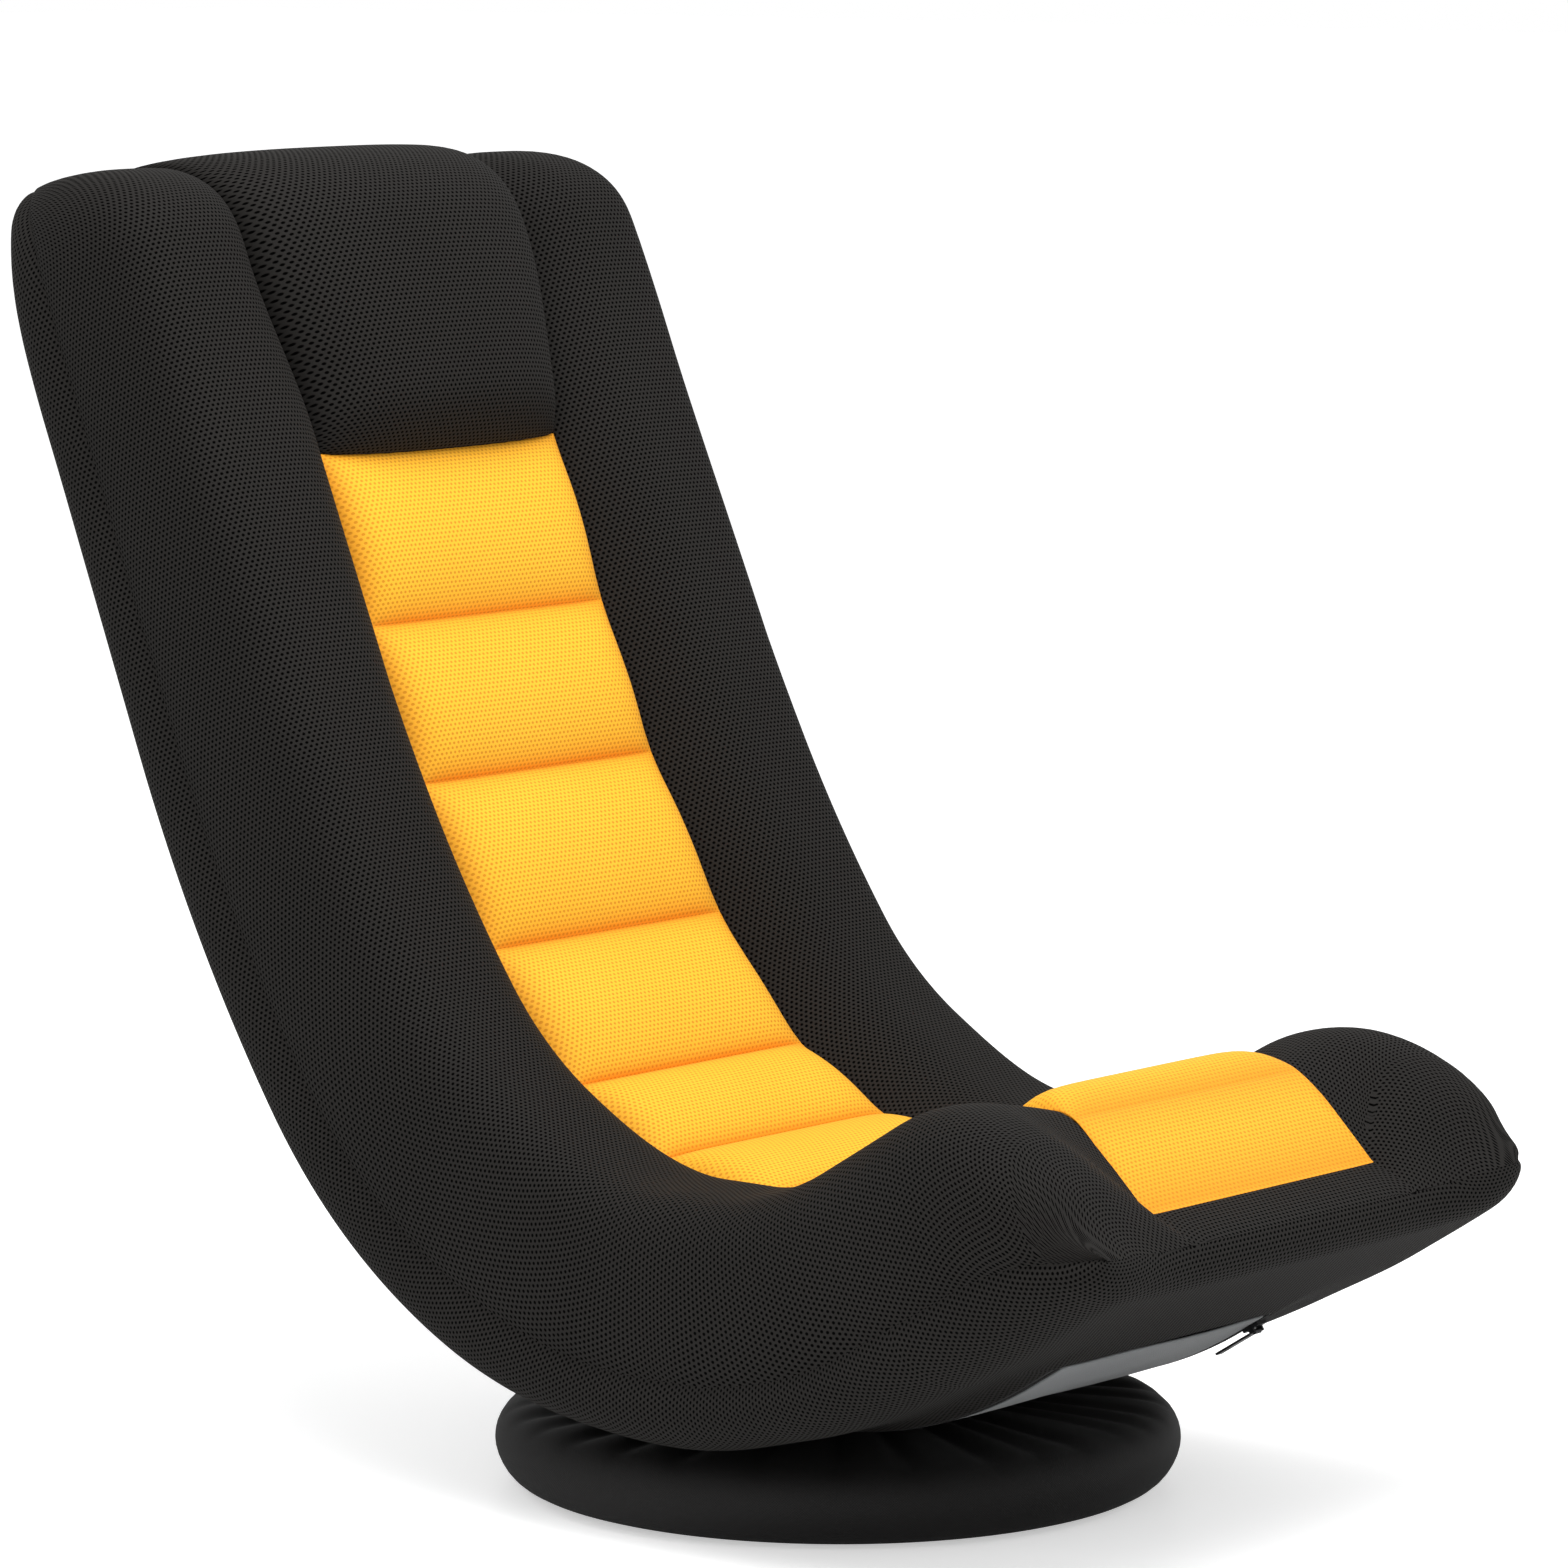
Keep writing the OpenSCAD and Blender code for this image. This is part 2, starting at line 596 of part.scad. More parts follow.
module hinge_plates_back() color([0.75, 0.76, 0.78]) on_both() difference() {
    union() {
        in_side(x_in) translate([hinge[0], hinge[1], 0]) linear_extrude(plate_t) polygon(tooth_tips);
        back_arm();
    }
    in_side(x_in - over) disc(hinge, pin_d / 2 + run_fit, plate_t + 2 * over);
}
head_t = 2.5;
pin_head_r = 7;
pawl_head_r = 5;
pawl_head_t = 1.5;
module hinge_pins() color([0.8, 0.8, 0.82]) on_both() {
    in_side(x_in - clear - head_t) disc(hinge, pin_head_r, head_t);
    in_side(x_in - clear - head_t) disc(hinge, pin_d / 2, x_out - x_in + plate_t + clear + head_t);
    in_side(x_out + plate_t) disc(hinge, pin_head_r, head_t);
}
washer_r = 10;
module hinge_washers() color([0.8, 0.8, 0.82]) on_both() difference() {
    in_side(rail_x - plate_gap / 2 + run_fit) disc(hinge, washer_r, plate_gap - run_fit);
    in_side(rail_x - plate_gap) disc(hinge, pin_d / 2 + run_fit, 2 * plate_gap);
}
pawl_t = plate_t + plate_gap - clear;
beak_far = plate_r + clear;
beak_share = 0.3;
beak_angle = -76;
beak_at = hinge + (beak_far + beak_share * tooth_depth) * [cos(beak_angle), sin(beak_angle)];
beak_w = 4;
module pawl() color([0.75, 0.76, 0.78]) difference() {
    in_side(x_in) {
        disc(pawl_at, pawl_boss_r, pawl_t);
        difference() {
            link(pawl_at, beak_at, beak_w, pawl_t);
            translate([0, 0, -over]) disc(hinge, beak_far, pawl_t + 2 * over);
        }
    }
    in_side(x_in - over) disc(pawl_at, pawl_pin_r + run_fit, pawl_t + 2 * over);
}
module pawl_right() pawl();
module pawl_left() on_left() pawl();
spring_room = 4.4;
module pawl_pins() color([0.8, 0.8, 0.82]) on_both() {
    in_side(x_in - spring_room - pawl_head_t) disc(pawl_at, pawl_head_r, pawl_head_t);
    in_side(x_in - spring_room - pawl_head_t)
        disc(pawl_at, pawl_pin_r, x_out - x_in + plate_t + spring_room + pawl_head_t);
    in_side(x_out + plate_t) disc(pawl_at, pawl_head_r, pawl_head_t);
}
wire_r = 0.6;
coil_pitch = 1.35;
coil_turns = 2;
coil_steps = 12;
coil_sides = 6;
coil_r = pawl_pin_r + clear + wire_r;
coil_x = x_in - spring_room + wire_r + run_fit;
module pawl_springs() color([0.6, 0.6, 0.62]) on_both() loft(
    [
        for (k = [0 : coil_turns * coil_steps])
            let (a = 360 * k / coil_steps)
                [
                    for (j = [0 : coil_sides - 1])
                        let (b = -360 * j / coil_sides, r = coil_r + wire_r * cos(b))
                            [
                                coil_x + coil_pitch * k / coil_steps + wire_r * sin(b),
                                pawl_at[0] + r * cos(a), pawl_at[1] + r * sin(a)
                            ]
                ]
    ],
    fan_cap(coil_sides)
);

// Round base: board, feet, hub, padding and gathered cover
base_r = base_d / 2;
board_r = base_r - board_inset;
board_top = foot_h + board_t;
feet = 6;
hub_r = 70;
hub_wall = 2.5;
hub_flange = 88;
hub_top = 38;
hub_hole = 14;
flange_bolt_r = 79;
foam_in_gap = 4;
foam_in = hub_flange + foam_in_gap;
m_r = 3;
bolt_head_r = 4.8;
bolt_head_t = 2.8;
module ring_of(n, r, turn)
    for (k = [0 : n - 1]) rotate([0, 0, turn + 360 * k / n]) translate([r, 0, 0]) children();
module base_feet() color([0.08, 0.08, 0.08]) {
    cylinder(d = foot_d, h = foot_h);
    ring_of(feet, feet_r, 0) cylinder(d = foot_d, h = foot_h);
}
module base_board() color([0.72, 0.6, 0.42]) difference() {
    translate([0, 0, foot_h]) cylinder(r = board_r, h = board_t, $fn = 96);
    ring_of(4, flange_bolt_r, 45) cylinder(r = m_r, h = hub_top);
}
module base_hub() color([0.14, 0.14, 0.15]) difference() {
    translate([0, 0, board_top]) rotate_extrude($fn = 96) polygon([
        [hub_hole, hub_top - board_top - hub_wall], [hub_r - hub_wall, hub_top - board_top - hub_wall],
        [hub_r - hub_wall, 0], [hub_flange, 0], [hub_flange, hub_wall], [hub_r, hub_wall],
        [hub_r, hub_top - board_top], [hub_hole, hub_top - board_top]
    ]);
    ring_of(4, flange_bolt_r, 45) cylinder(r = m_r, h = hub_top);
    ring_of(4, lower_bolt_r, 45) cylinder(r = m_r, h = hub_top + over);
}
module screw(z0, z1, nut) {
    translate([0, 0, z0]) cylinder(r = m_r, h = z1 - z0);
    translate([0, 0, z1]) cylinder(r = bolt_head_r, h = bolt_head_t, $fn = 6);
    if (nut)
        translate([0, 0, z0]) cylinder(r = bolt_head_r, h = bolt_head_t, $fn = 6);
}
module hub_bolts() color([0.7, 0.7, 0.72])
    ring_of(4, flange_bolt_r, 45) screw(foot_h, board_top + hub_wall, false);

// Section of the cover's outer face, from the edge under the board over the rim to the middle opening
cover_r_shares = [0.817, 0.892, 0.962, 1, 0.995, 0.962, 0.883, 0.751, 0.563, 0.376];
cover_z_shares = [0.06, 0.028, 0.14, 0.42, 0.63, 0.8, 0.9, 0.95, 0.985, 1];
cover_turns = [90, 115, 145, 178, 188, 235, 255, 262, 268, 270];
gather_shares = [0, 0, 0, 0, 0, 0.3, 0.9, 1, 0.7, 0.2];
cover_t = foot_h - cover_z_shares[0] * cover_h;
feet_r = cover_r_shares[0] * base_r - foot_gap - foot_d / 2;
function cover_point(i, inset, dip) = let (a = cover_turns[i]) [
    cover_r_shares[i] * base_r + inset * cos(a),
    cover_z_shares[i] * cover_h + inset * sin(a) - dip * gather_depth * gather_shares[i]
];
cover_n = len(cover_turns);
function cover_ring(dip) = concat(
    [for (i = [0 : cover_n - 1]) cover_point(i, 0, dip)],
    [for (i = [cover_n - 1 : -1 : 0]) cover_point(i, cover_t, dip)]
);
module base_cover() color([0.1, 0.1, 0.1]) {
    n = 2 * gathers;
    m = 2 * cover_n;
    points = [
        for (k = [0 : n - 1])
            let (a = 360 * k / n)
                for (q = cover_ring(k % 2)) [q[0] * cos(a), q[0] * sin(a), q[1]]
    ];
    faces = [
        for (i = [0 : n - 1], j = [0 : m - 1])
            let (k = (j + 1) % m, q = ((i + 1) % n) * m, a = i * m + j, b = i * m + k, c = q + j, d = q + k)
                each [[a, b, c], [b, d, c]]
    ];
    polyhedron(points = points, faces = faces, convexity = 6);
}
foam_edge = [for (i = [2 : cover_n - 2]) cover_point(i, cover_t + clear, 1)];
module base_foam_ring() color("gainsboro") rotate_extrude($fn = 96) polygon(concat(
    [[foam_in, board_top], [board_r + clear, board_top], [board_r + clear, foam_edge[0][1]]],
    foam_edge,
    [[foam_in, cover_point(cover_n - 2, cover_t + clear, 1)[1]]]
));

// Ball-bearing turntable and the bracket that carries the seat frame
race_bite = 0.5;
turn_lo = hub_top;
ball_z = turn_lo + turn_t + ball_d / 2 - race_bite;
turn_hi = ball_z + ball_d / 2 - race_bite;
rivet_r = 5;
rivet_head_r = 9;
rivet_head_t = 2;
lower_bolt_r = 59.4;
mount_bolt_r = 44;
mount_z = turn_hi + turn_t;
corner_r = 6;
module square_plate(w, z, t) translate([0, 0, z]) linear_extrude(t) polygon([
    for (q = [[1, 1], [-1, 1], [-1, -1], [1, -1]], a = [0 : 30 : 90])
        let (turn = a + (q[0] > 0 ? (q[1] > 0 ? 0 : 270) : (q[1] > 0 ? 90 : 180)), reach = w / 2 - corner_r)
            [q[0] * reach + corner_r * cos(turn), q[1] * reach + corner_r * sin(turn)]
]);
module race()
    translate([0, 0, ball_z]) rotate_extrude($fn = 64)
        translate([race_r, 0]) circle(r = ball_d / 2 + run_fit);
module turntable_lower() color([0.75, 0.76, 0.78]) difference() {
    square_plate(turn_w, turn_lo, turn_t);
    race();
    cylinder(r = rivet_r, h = mount_z);
    ring_of(4, lower_bolt_r, 45) cylinder(r = m_r, h = mount_z);
}
module turntable_upper() color([0.75, 0.76, 0.78]) difference() {
    square_plate(turn_w, turn_hi, turn_t);
    race();
    cylinder(r = rivet_r + run_fit, h = mount_z + over);
    ring_of(4, mount_bolt_r, 0) cylinder(r = m_r, h = mount_z + over);
}
module turntable_balls() color([0.85, 0.86, 0.88])
    ring_of(balls, race_r, 0) translate([0, 0, ball_z]) sphere(d = ball_d, $fn = 16);
cage_t = 1.6;
cage_w = 9;
module turntable_cage() color([0.8, 0.78, 0.6]) difference() {
    translate([0, 0, ball_z - cage_t / 2]) cylinder(r = race_r + cage_w / 2, h = cage_t, $fn = 64);
    cylinder(r = race_r - cage_w / 2, h = mount_z, $fn = 64);
    ring_of(balls, race_r, 0) cylinder(r = ball_d / 2 + run_fit, h = mount_z);
}
module turntable_rivet() color([0.7, 0.7, 0.72]) {
    translate([0, 0, turn_lo - rivet_head_t]) cylinder(r = rivet_head_r, h = rivet_head_t);
    translate([0, 0, turn_lo]) cylinder(r = rivet_r, h = mount_z + clear - turn_lo);
    translate([0, 0, mount_z + clear]) cylinder(r = rivet_head_r, h = rivet_head_t);
}
module turntable_bolts() color([0.7, 0.7, 0.72]) ring_of(4, lower_bolt_r, 45)
    screw(hub_top - hub_wall - bolt_head_t, turn_lo + turn_t, true);
mount_w = 106;
mount_t = 4;
leg_w = 20;
leg_wall = 2;
rivet_room = 12;
module mount_bolts() color([0.7, 0.7, 0.72])
    ring_of(4, mount_bolt_r, 0) screw(turn_hi - bolt_head_t, mount_z + mount_t, true);
module seat_mount() color([0.14, 0.14, 0.15]) difference() {
    union() {
        square_plate(mount_w, mount_z, mount_t);
        for (i = [0, 1], side = [-1, 1]) {
            top = at(s_bars[i], 0, rail_d);
            height = top[2] - mount_z - mount_t;
            translate([side * mount_leg, top[1], mount_z + mount_t]) difference() {
                translate([-leg_w / 2, -leg_w / 2, 0]) cube([leg_w, leg_w, height]);
                translate([leg_wall - leg_w / 2, leg_wall - leg_w / 2, 0])
                    cube([leg_w - 2 * leg_wall, leg_w - 2 * leg_wall, height + over]);
            }
        }
    }
    for (s = s_bars)
        flat_bar(s);
    cylinder(r = rivet_room, h = mount_z + mount_t + over);
    ring_of(4, mount_bolt_r, 0) cylinder(r = m_r, h = mount_z + mount_t + over);
}

base_board();
base_foam_ring();
base_cover();
base_feet();
base_hub();
hub_bolts();
turntable_lower();
turntable_upper();
turntable_balls();
turntable_cage();
turntable_rivet();
turntable_bolts();
seat_mount();
mount_bolts();
seat_rails();
seat_front_tube();
seat_cross_bars();
seat_straps();
seat_foam();
seat_base_foam();
seat_bolster_left();
seat_bolster_right();
seat_insert();
seat_nose();
seat_panel();
seat_zips();
seat_zip_slider();
seat_zip_pull();
hinge_plates_seat();
hinge_plates_back();
hinge_pins();
hinge_washers();
pawl_left();
pawl_right();
pawl_pins();
pawl_springs();
bend_bolsters();
bend_insert();
bend_foam();
bend_panel();
bend_zips();
back_rails();
back_top_tube();
back_cross_bars();
back_straps();
back_foam();
back_base_foam();
back_bolster_left();
back_bolster_right();
back_insert();
headrest_pillow();
back_panel();
back_zips();
back_zip_slider();
back_zip_pull();
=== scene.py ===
# %% [markdown]
# A swivel floor chair: one long padded cushion that bends where the seat meets the back, on a round padded
# base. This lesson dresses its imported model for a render.

import math

import bmesh
import bpy
import numpy as np
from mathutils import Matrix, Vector


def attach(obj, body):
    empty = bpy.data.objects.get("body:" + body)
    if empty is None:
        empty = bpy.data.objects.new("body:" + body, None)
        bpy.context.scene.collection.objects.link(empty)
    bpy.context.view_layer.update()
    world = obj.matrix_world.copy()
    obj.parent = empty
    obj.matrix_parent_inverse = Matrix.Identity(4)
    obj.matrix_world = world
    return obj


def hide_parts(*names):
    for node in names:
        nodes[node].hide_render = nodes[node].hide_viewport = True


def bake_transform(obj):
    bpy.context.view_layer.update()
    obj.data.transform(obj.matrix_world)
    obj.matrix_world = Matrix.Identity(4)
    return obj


# %% [markdown]
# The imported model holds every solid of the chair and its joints. Steel, board, rubber and nylon can be
# shown as they are, since their edges are crisp. Cloth and foam can't: a solid has no seams, puffs or
# weave, so those pieces are built here in mesh code and laid over the solids.

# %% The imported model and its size
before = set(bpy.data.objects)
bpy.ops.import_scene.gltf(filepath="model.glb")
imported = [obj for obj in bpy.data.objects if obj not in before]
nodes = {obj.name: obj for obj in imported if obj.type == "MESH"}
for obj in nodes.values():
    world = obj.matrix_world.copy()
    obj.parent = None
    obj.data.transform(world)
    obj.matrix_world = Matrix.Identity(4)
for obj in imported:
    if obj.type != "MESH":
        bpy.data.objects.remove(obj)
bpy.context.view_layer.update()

# %% [markdown]
# Seen from the side, the whole cushion follows one line, its underside: a raised nose, an arc down to the
# base, the bend up to the back, a slight lumbar curve, and a straight upper back. It could be drawn as a
# curve object and read back, but a few straights and arcs with exact slopes are easier to place things on.
# Every sewn piece is placed by three numbers: the distance s along this line, the sideways place x, and the
# depth d above it.

# %% The side line
NOSE = 0.173
FRONT_R = 0.308
FRONT_TURN = math.radians(32)
FLAT = 0.027
BEND_R = 0.380
BEND_TURN = math.radians(56)
LUMBAR_R = 1.105
LUMBAR_TURN = math.radians(12.5)
BACK = 0.375
SEAT_HEIGHT = 0.059
BEND_START = 0.043
s_front = NOSE + FRONT_R * FRONT_TURN
s_flat = s_front + FLAT
s_bend = s_flat + BEND_R * BEND_TURN
s_lumbar = s_bend + LUMBAR_R * LUMBAR_TURN
s_top = s_lumbar + BACK
a_back = BEND_TURN + LUMBAR_TURN


def arc(p, r, a0, a1):
    return p[0] + r * (np.sin(a1) - np.sin(a0)), p[1] + r * (np.cos(a0) - np.cos(a1))


p_flat = (-BEND_START, SEAT_HEIGHT)
p_front = (p_flat[0] - FLAT, p_flat[1])
p_nose = arc(p_front, FRONT_R, 0, -FRONT_TURN)
p_bend = arc(p_flat, BEND_R, 0, BEND_TURN)
p_lumbar = arc(p_bend, LUMBAR_R, BEND_TURN, a_back)


def stretches(s):
    return [s < end for end in (NOSE, s_front, s_flat, s_bend, s_lumbar)]


def slope(s):
    turns = [
        -FRONT_TURN + 0 * s, (s - s_front) / FRONT_R, 0 * s, (s - s_flat) / BEND_R,
        BEND_TURN + (s - s_bend) / LUMBAR_R,
    ]
    return np.select(stretches(s), turns, a_back)


def under(s):
    a = slope(s)
    runs = [
        (p_nose[0] + (s - NOSE) * math.cos(FRONT_TURN), p_nose[1] - (s - NOSE) * math.sin(FRONT_TURN)),
        arc(p_front, FRONT_R, 0, a),
        (p_flat[0] + s - s_flat, p_flat[1] + 0 * s),
        arc(p_flat, BEND_R, 0, a),
        arc(p_bend, LUMBAR_R, BEND_TURN, a),
    ]
    last = (p_lumbar[0] + (s - s_lumbar) * math.cos(a_back), p_lumbar[1] + (s - s_lumbar) * math.sin(a_back))
    return tuple(np.select(stretches(s), [r[i] for r in runs], last[i]) for i in (0, 1))


def at(s, x, d):
    s, x, d = np.broadcast_arrays(np.asarray(s, float), np.asarray(x, float), np.asarray(d, float))
    y, z = under(s)
    a = slope(s)
    return np.stack([x, y - d * np.sin(a), z + d * np.cos(a)], -1)


print("length of the side line", round(float(s_top), 4))

# %% [markdown]
# Foam in a tight cover never turns a sharp corner. These small functions give the curves between one value
# and the next: a rounded end, a soft step up or down over a run, and a straight mix. They could be curves
# drawn in a curve widget, but a formula can be read, and changed by one number.

# %% Easing from one value to the next
def eased(q, power):
    return (1 - (1 - np.clip(q, 0, 1)) ** power) ** (1 / power)


def smooth(q):
    q = np.clip(q, 0, 1)
    return q * q * (3 - 2 * q)


def rising(s, place):
    """0 before the start, eased up to 1 over the run, for a place given as (start, run)."""
    start, run = place
    return smooth((s - start) / run)


def falling(s, place):
    """Eased from 1 down to 0 over the run, for a place given as (end, run)."""
    end, run = place
    return smooth((end - s) / run)


def mixed(a, b, t):
    return a + (b - a) * np.clip(t, 0, 1)


print("a soft step passes through", [round(float(smooth(q)), 3) for q in (0, 0.25, 0.5, 0.75, 1)])

# %% [markdown]
# The cushion is thickest over its side bolsters and rounds off at both ends. A modifier could bevel the
# ends, but the cloth's seams have to follow the same form, so it is written as functions of s. The nose
# rounds off as a quarter of a circle. The top follows a quarter of a superellipse, which stays flat for
# longer and then turns quickly.

# %% Thickness of the cushion
SEAT_T = 0.156
BACK_T = 0.143
BEND_SWELL = 0.011
SWELL_UP = (0.40, 0.20)
SWELL_DOWN = (1.25, 0.35)
END_D = 0.020
NOSE_POWER = 2.0
NOSE_ROUND = 0.104
TOP_ROUND = 0.084
ROUND_POWER = 2.3
EDGE_ROUND = 0.022


def top_ease(s):
    return eased((s_top - s) / TOP_ROUND, ROUND_POWER)


def body_t(s):
    swell = BEND_SWELL * rising(s, SWELL_UP) * falling(s, SWELL_DOWN)
    return mixed(SEAT_T, BACK_T, (s - s_flat) / (s_lumbar - s_flat)) + swell


def crest(s):
    nose = eased(s / NOSE_ROUND, NOSE_POWER)
    return END_D + (body_t(s) - END_D) * nose * top_ease(s)


def lift(s):
    return END_D * (1 - eased(np.minimum(s, s_top - s) / EDGE_ROUND, 2))


print("thickness at the seat and the back", [round(float(crest(s)), 4) for s in (s_front, s_top - 0.3)])

# %% [markdown]
# Between the bolsters the cushion lies lower, where the yellow insert is sewn in. Its seams run across at
# set shares of the side line. The middle climbs from the nose in a short strip, then steeply over the front
# edge, and bends into the level seat. A boolean could cut it out, but the cover's skin would then need
# mending.

# %% Seams and the sunken middle
INSERT_W = 0.220
SEAT_SEAM = 0.134
BACK_SEAM = 0.115
STRIP_SETBACK = 0.014
STRIP_POWER = 0.75
FRONT_EDGE_D = 0.0505
FRONT_SLOPE = 4.05
FRONT_BEND_POWER = 6
seam_shares = [0.025, 0.040, 0.091, 0.182, 0.284, 0.383, 0.471, 0.576, 0.671, 0.754, 0.839]
seams = [share * s_top for share in seam_shares]
insert_x = INSERT_W / 2


def seam_base(s):
    return mixed(SEAT_SEAM, BACK_SEAM, (s - s_flat) / (s_lumbar - s_flat))


def middle_ease(s):
    """A straight slope over the front edge that bends smoothly into the level top."""
    strip = np.clip((s - STRIP_SETBACK) / (seams[0] - STRIP_SETBACK), 0, 1) ** STRIP_POWER
    rise = (FRONT_EDGE_D - END_D) * strip + FRONT_SLOPE * np.maximum(s - seams[0], 0)
    line = rise / (SEAT_SEAM - END_D)
    return line / (1 + line ** FRONT_BEND_POWER) ** (1 / FRONT_BEND_POWER)


def seam_d(s):
    return END_D + (seam_base(s) - END_D) * middle_ease(s) * top_ease(s)


print("seams across the insert at", [round(float(s), 3) for s in seams])

# %% [markdown]
# The bolsters round off at the nose and more widely at the top, and the gap between them spreads a little
# beside the headrest. Both are given at each s, so the cover and the pieces sewn into it share one edge.

# %% Width of the cushion
WIDTH = 0.476
SIDE_ROUND = 0.034
SIDE_ROUND_LEN = 0.060
TOP_SIDE_ROUND = 0.044
TOP_SIDE_LEN = 0.080
HEAD_FLARE = 0.014
FLARE_RUN = 0.12
FLARE_GAP = 0.01


def half_w(s):
    nose = SIDE_ROUND * (1 - eased(s / SIDE_ROUND_LEN, 2))
    return WIDTH / 2 - nose - TOP_SIDE_ROUND * (1 - eased((s_top - s) / TOP_SIDE_LEN, 2))


def inner_x(s):
    """Half the width between the bolsters, which spreads a little beside the headrest."""
    return insert_x + HEAD_FLARE * rising(s, (seams[-1] + FLARE_GAP, FLARE_RUN))


print("half width, nose to top", [round(float(half_w(s)), 3) for s in (0.0, s_bend, s_top)])

# %% [markdown]
# Every sewn piece is a grid of points: stations along the cushion by places across it. Such a grid could be
# made by deforming a plane with modifiers, but points in code keep the seams exactly where the sizes say.
# One function turns a grid into a mesh with a cloth map in metres, so the weave keeps its size and runs
# along each piece.

# %% Meshes from grids of points
MAP_CLOSE = 0.004


def in_scene(name, data):
    obj = bpy.data.objects.new(name, data)
    bpy.context.scene.collection.objects.link(obj)
    return obj


def new_object(name, verts, faces, uvs=None):
    mesh = bpy.data.meshes.new(name)
    mesh.from_pydata([tuple(v) for v in verts], [], faces)
    if uvs is not None:
        layer = mesh.uv_layers.new(name="cloth")
        flat = np.array([uv for face in uvs for uv in face], dtype=np.float32)
        layer.data.foreach_set("uv", flat.ravel())
    mesh.validate()
    return in_scene(name, mesh)


def grid_object(name, points, u, v, closed=False, cap=False, turned=False, skip=None):
    """points is stations by places by 3; u and v are the cloth map at the same points."""
    n, m = points.shape[:2]
    faces, uvs = [], []
    for i in range(n - 1):
        for j in range(m if closed else m - 1):
            k = (j + 1) % m
            if skip is not None and skip(i, j):
                continue
            face = [(i, j), (i, k), (i + 1, k), (i + 1, j)]
            if turned:
                face.reverse()
            faces.append([a * m + b for a, b in face])
            wrap = u[0, -1] + MAP_CLOSE if closed and k == 0 else None
            uvs.append([(wrap if wrap is not None and b == 0 else u[a, b], v[a, b]) for a, b in face])
    if cap:
        for i, order in ((0, 1), (n - 1, -1)):
            ring = [i * m + j for j in range(m)][::order * (-1 if turned else 1)]
            faces.append(ring[::-1])
            uvs.append([(u[i, j % m], v[i, j % m]) for j in range(m)])
    return new_object(name, points.reshape(-1, 3), faces, uvs)

# %% [markdown]
# Where a grid meets itself its points are doubled. They are welded, the faces are turned outward, and a
# subdivision rounds the cloth. Modifiers are applied at once.

# %% Refining a mesh
def apply_modifiers(obj):
    graph = bpy.context.evaluated_depsgraph_get()
    mesh = bpy.data.meshes.new_from_object(obj.evaluated_get(graph))
    old = obj.data
    obj.modifiers.clear()
    obj.data = mesh
    bpy.data.meshes.remove(old)


def finish_mesh(obj, levels=1, smooth_shade=True, weld=0.00002):
    """Welds doubled points, turns the faces outward and refines the mesh once."""
    work = bmesh.new()
    work.from_mesh(obj.data)
    bmesh.ops.remove_doubles(work, verts=work.verts, dist=weld)
    bmesh.ops.dissolve_degenerate(work, edges=work.edges, dist=weld / 2)
    bmesh.ops.recalc_face_normals(work, faces=work.faces)
    work.to_mesh(obj.data)
    work.free()
    if levels:
        sub = obj.modifiers.new("refine", "SUBSURF")
        sub.levels = sub.render_levels = levels
        apply_modifiers(obj)
    for p in obj.data.polygons:
        p.use_smooth = smooth_shade
    return obj

# %% [markdown]
# Stations keep every mark they are given, such as an edge, and lie about one step apart between the marks.
# Places across a piece are given for one half and mirrored. The cloth map needs real distances, so one
# helper adds them up.

# %% Stations, places and cloth maps
def along(points, axis):
    """Distance run along a grid of points in one direction."""
    steps = np.linalg.norm(np.diff(points, axis=axis), axis=-1)
    zero = np.zeros_like(np.take(steps, [0], axis=axis))
    return np.concatenate([zero, np.cumsum(steps, axis=axis)], axis=axis)


def both_sides(places):
    """Places from one edge to the middle, continued to the other edge."""
    places = np.array(places)
    return np.concatenate([places, -places[-2::-1]])


def wrapped_map(points, places):
    """Cloth map of a flat tube: u across both of its faces, v along the middle of its upper face."""
    u = np.concatenate([places, places[::-1]])[None, :] * insert_x + np.zeros((len(points), 1))
    v = along(points, 0)[:, len(places) // 2][:, None] + np.zeros_like(u)
    return u, v


def stations(marks, step):
    """Places along the cushion at about one step apart, keeping every mark."""
    out = []
    for a, b in zip(marks[:-1], marks[1:]):
        count = max(1, round((b - a) / step))
        out += [a + (b - a) * i / count for i in range(count)]
    return np.array(out + [marks[-1]])


print("a run of 20 mm in steps of about 6 mm", [round(float(s), 4) for s in stations([0, 0.02], 0.006)])

# %% [markdown]
# The sections aren't quite flat. At the nose they are set back in the middle, behind the bolsters' tips,
# and a shallow valley runs across each tip. At the top the bolsters end a little lower. Sculpting would do
# it, but a shift along s keeps the section's own form.

# %% Where the cover gives way
SET_BACK_RUN = 0.15
SET_BACK_POWER = 1.5
SET_BACK_SIDE = (0.232, 0.122)
NOTCH = 0.006
NOTCH_D = 0.045
NOTCH_H = 0.011
NOTCH_RUN = 0.05
NOTCH_SIDE = (0.09, 0.12)
TOP_STEP = 0.007
STEP_UP = (s_top - 0.10, 0.10)
STEP_SIDE = (insert_x, 0.03)


def set_back(q, x):
    """How far the section is pushed back from the nose at place x."""
    near = (1 - np.clip(q / SET_BACK_RUN, 0, 1)) ** SET_BACK_POWER
    return STRIP_SETBACK * falling(np.abs(x), SET_BACK_SIDE) * near


